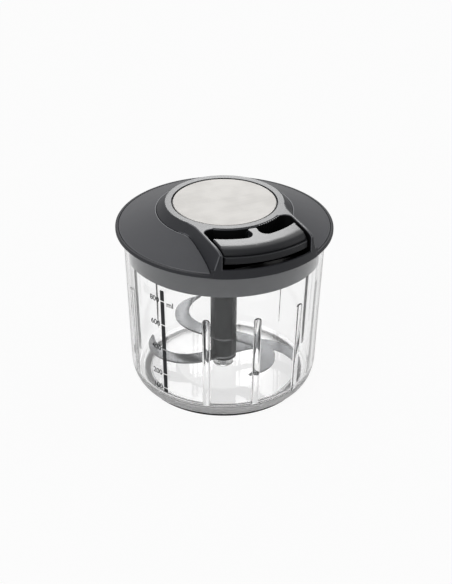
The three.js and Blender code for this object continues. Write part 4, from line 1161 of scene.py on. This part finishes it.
def grip_half(foot_z, top_z, front, screw_holes):
    """A half of the grip: the bar with its rounded back, the neck, and the cord's channel. The
    front is the outline, from the foot up, that the bar's front is turned to."""
    bar = plan([(-GRIP_HALF_WIDTH, -75), (GRIP_HALF_WIDTH, -75),
                (GRIP_HALF_WIDTH, -42.6, 2.2), (-GRIP_HALF_WIDTH, -42.6, 2.2)], foot_z, top_z)
    bar = combined(bar, "DIFFERENCE", rod(GRIP_BACK_RADIUS, 90, 140, steps=FINE_STEPS))
    neck_side = [(3.2, -39.6, 1.6), (2.5, -44), (2.5, -50.1, 5.4), (12, -50.1), (12, -54)]
    neck = plan([*neck_side, *[(-point[0], *point[1:]) for point in reversed(neck_side)]],
                foot_z, top_z)
    whole = combined(bar, "UNION", neck)
    whole = combined(whole, "INTERSECT", turned([(0, foot_z), *front, (0, top_z)]))
    ends = [edge for edge in creases(whole) if grip_corner(edge)]
    rounded_edges(whole, ends, GRIP_END_ROUNDING, segments=5)
    soften(whole, 0.35)
    channel = moved(swung(rod(CHANNEL_RADIUS, 38.6, KNOT_OUT), X_AXIS, TURN / 4), z=CORD_Z)
    chamber = rod(CHAMBER_RADIUS, CORD_Z - CHAMBER_RADIUS, CORD_Z + CHAMBER_RADIUS,
                  (0, -KNOT_OUT - 0.3))
    return combined(whole, "DIFFERENCE", channel, chamber, *screw_holes)


grip_fixings = [(side * 19, -53.5) for side in (-1, 1)]
upper_holes = [rod(1.5, 121, 124.3, place) for place in grip_fixings]
lower_holes = [rod(1.5, 116, 123, place) for place in grip_fixings]
lower_holes += [rod(2.7, 116, 119.4, place) for place in grip_fixings]
upper_foot_z = GRIP_SPLIT_Z + GRIP_HALF_GROOVE
lower_top_z = GRIP_SPLIT_Z - GRIP_HALF_GROOVE
upper_front = quarter((57.2, upper_foot_z), 7.8, GRIP_TOP_Z - upper_foot_z, 0)
lower_front = [(66.1, GRIP_FOOT_Z), (66.5, lower_top_z)]
upper_grip = grip_half(upper_foot_z, GRIP_TOP_Z, upper_front, upper_holes)
lower_grip = grip_half(GRIP_FOOT_Z, lower_top_z, lower_front, lower_holes)
for name, half, node in (("grip_top_half", upper_grip, "grip_upper"),
                         ("grip_bottom_half", lower_grip, "grip_lower")):
    piece(name, half, "pull_handle", grip_plastic, [node],
          flats=True, rim=grip_edge_highlight)
for number, place in enumerate(grip_fixings, 1):
    screw(f"grip_fixing_{number}", "pull_handle", f"grip_screw_{number}", place,
          head=2.4, shank=1.2, head_z=117.5, neck_z=119.1, tip_z=124)


# The studio: a plain white floor, a broad soft lamp to the left, a weaker one to the right,
# and a small one behind that the flat tops mirror. The camera stands where the photo's did.
PAPER_GLOW = 0.94
SHINE_SHARE = 0.2
WHITE = (1, 1, 1, 1)
BRIGHTEST_WAY = (-0.05, 0.75, 0.66)
CAMERA_TILT = 0.009


class Surroundings(Finish):
    """The world, whose nodes are added as a material's are."""

    def __init__(self, name):
        world = bpy.data.worlds.new(name)
        bpy.context.scene.world = world
        world.use_nodes = True
        self.tree = world.node_tree
        self.shader = self.tree.nodes["Background"]


def lamp(name, place, target, width, height, power):
    """A soft lamp that faces its target."""
    light = bpy.data.lights.new(name, "AREA")
    light.shape = "RECTANGLE"
    light.size, light.size_y, light.energy = width, height, power
    made = shown(name, light)
    made.location = place
    made.rotation_euler = (Vector(target) - Vector(place)).to_track_quat("-Z", "Y").to_euler()


lamp("left_lamp", (-1.1, -0.7, 1.1), (0, 0, 0.08), 1.6, 1.6, 11)
lamp("right_lamp", (1.2, -0.5, 0.8), (0, 0, 0.08), 1.0, 1.0, 4)
lamp("back_lamp", (0.43, 0.94, 0.72), (0, 0, 0.12), 0.24, 0.44, 1.06)

disc = bmesh.new()
bmesh.ops.create_circle(disc, cap_ends=True, segments=64, radius=4)
moved(disc, z=-0.1)
floor = shown("floor", bpy.data.meshes.new("floor"))
disc.to_mesh(floor.data)
disc.free()
paper = Finish("paper", {"Base Color": tint(205, 205, 205), "Roughness": 0.9,
                         "Specular IOR Level": 0.0})
seen = paper.ray("Camera") + paper.ray("Glossy") * SHINE_SHARE + paper.ray("Transmission")
seen = paper.add("Math", {"operation": "MINIMUM"}, {0: seen, 1: 1.0})
glow = paper.add("Emission", {}, {"Color": WHITE, "Strength": 1.0})
paper_shader = Amount(paper, paper.shader.outputs[0])
mixed = paper.add("MixShader", {}, {0: seen * PAPER_GLOW, 1: paper_shader, 2: glow})
paper.feed(paper.tree.nodes["Material Output"], {"Surface": mixed})
floor.data.materials.append(paper.material)

room = Surroundings("studio")
ways = {0: room.add("TexCoord", output="Generated"), 1: BRIGHTEST_WAY}
bright = room.add("VectorMath", {"operation": "DOT_PRODUCT"}, ways, output="Value")
dimming = {"Value": bright, "From Min": -0.2, "From Max": 0.9, "To Min": 0.18, "To Max": 0.8}
strength = room.add("MapRange", {"interpolation_type": "SMOOTHSTEP"}, dimming)
room.vary({"Color": WHITE, "Strength": strength})
room_light = Amount(room, room.shader.outputs[0])
backdrop = room.add("Background", {}, {"Color": WHITE, "Strength": 1.0})
seen = room.add("Math", {"operation": "MAXIMUM"},
                {0: room.ray("Camera"), 1: room.ray("Transmission")})
mixed = room.add("MixShader", {}, {0: seen, 1: room_light, 2: backdrop})
room.feed(room.tree.nodes["World Output"], {"Surface": mixed})

camera_data = bpy.data.cameras.new("camera")
camera_data.lens = 84.9
camera_data.shift_x = 0.0039
camera_data.shift_y = 0.0116
camera_data.clip_start, camera_data.clip_end = 0.01, 20
camera = shown("camera", camera_data)
camera.location = (-0.3192, -0.7005, 0.5064)
camera.rotation_mode = "QUATERNION"
sight = Vector((0, 0, 0.05548)) - camera.location
camera.rotation_quaternion = sight.to_track_quat("-Z", "Y") @ Quaternion(Z_AXIS, CAMERA_TILT)
bpy.context.scene.camera = camera
bpy.context.scene.view_settings.view_transform = "Standard"
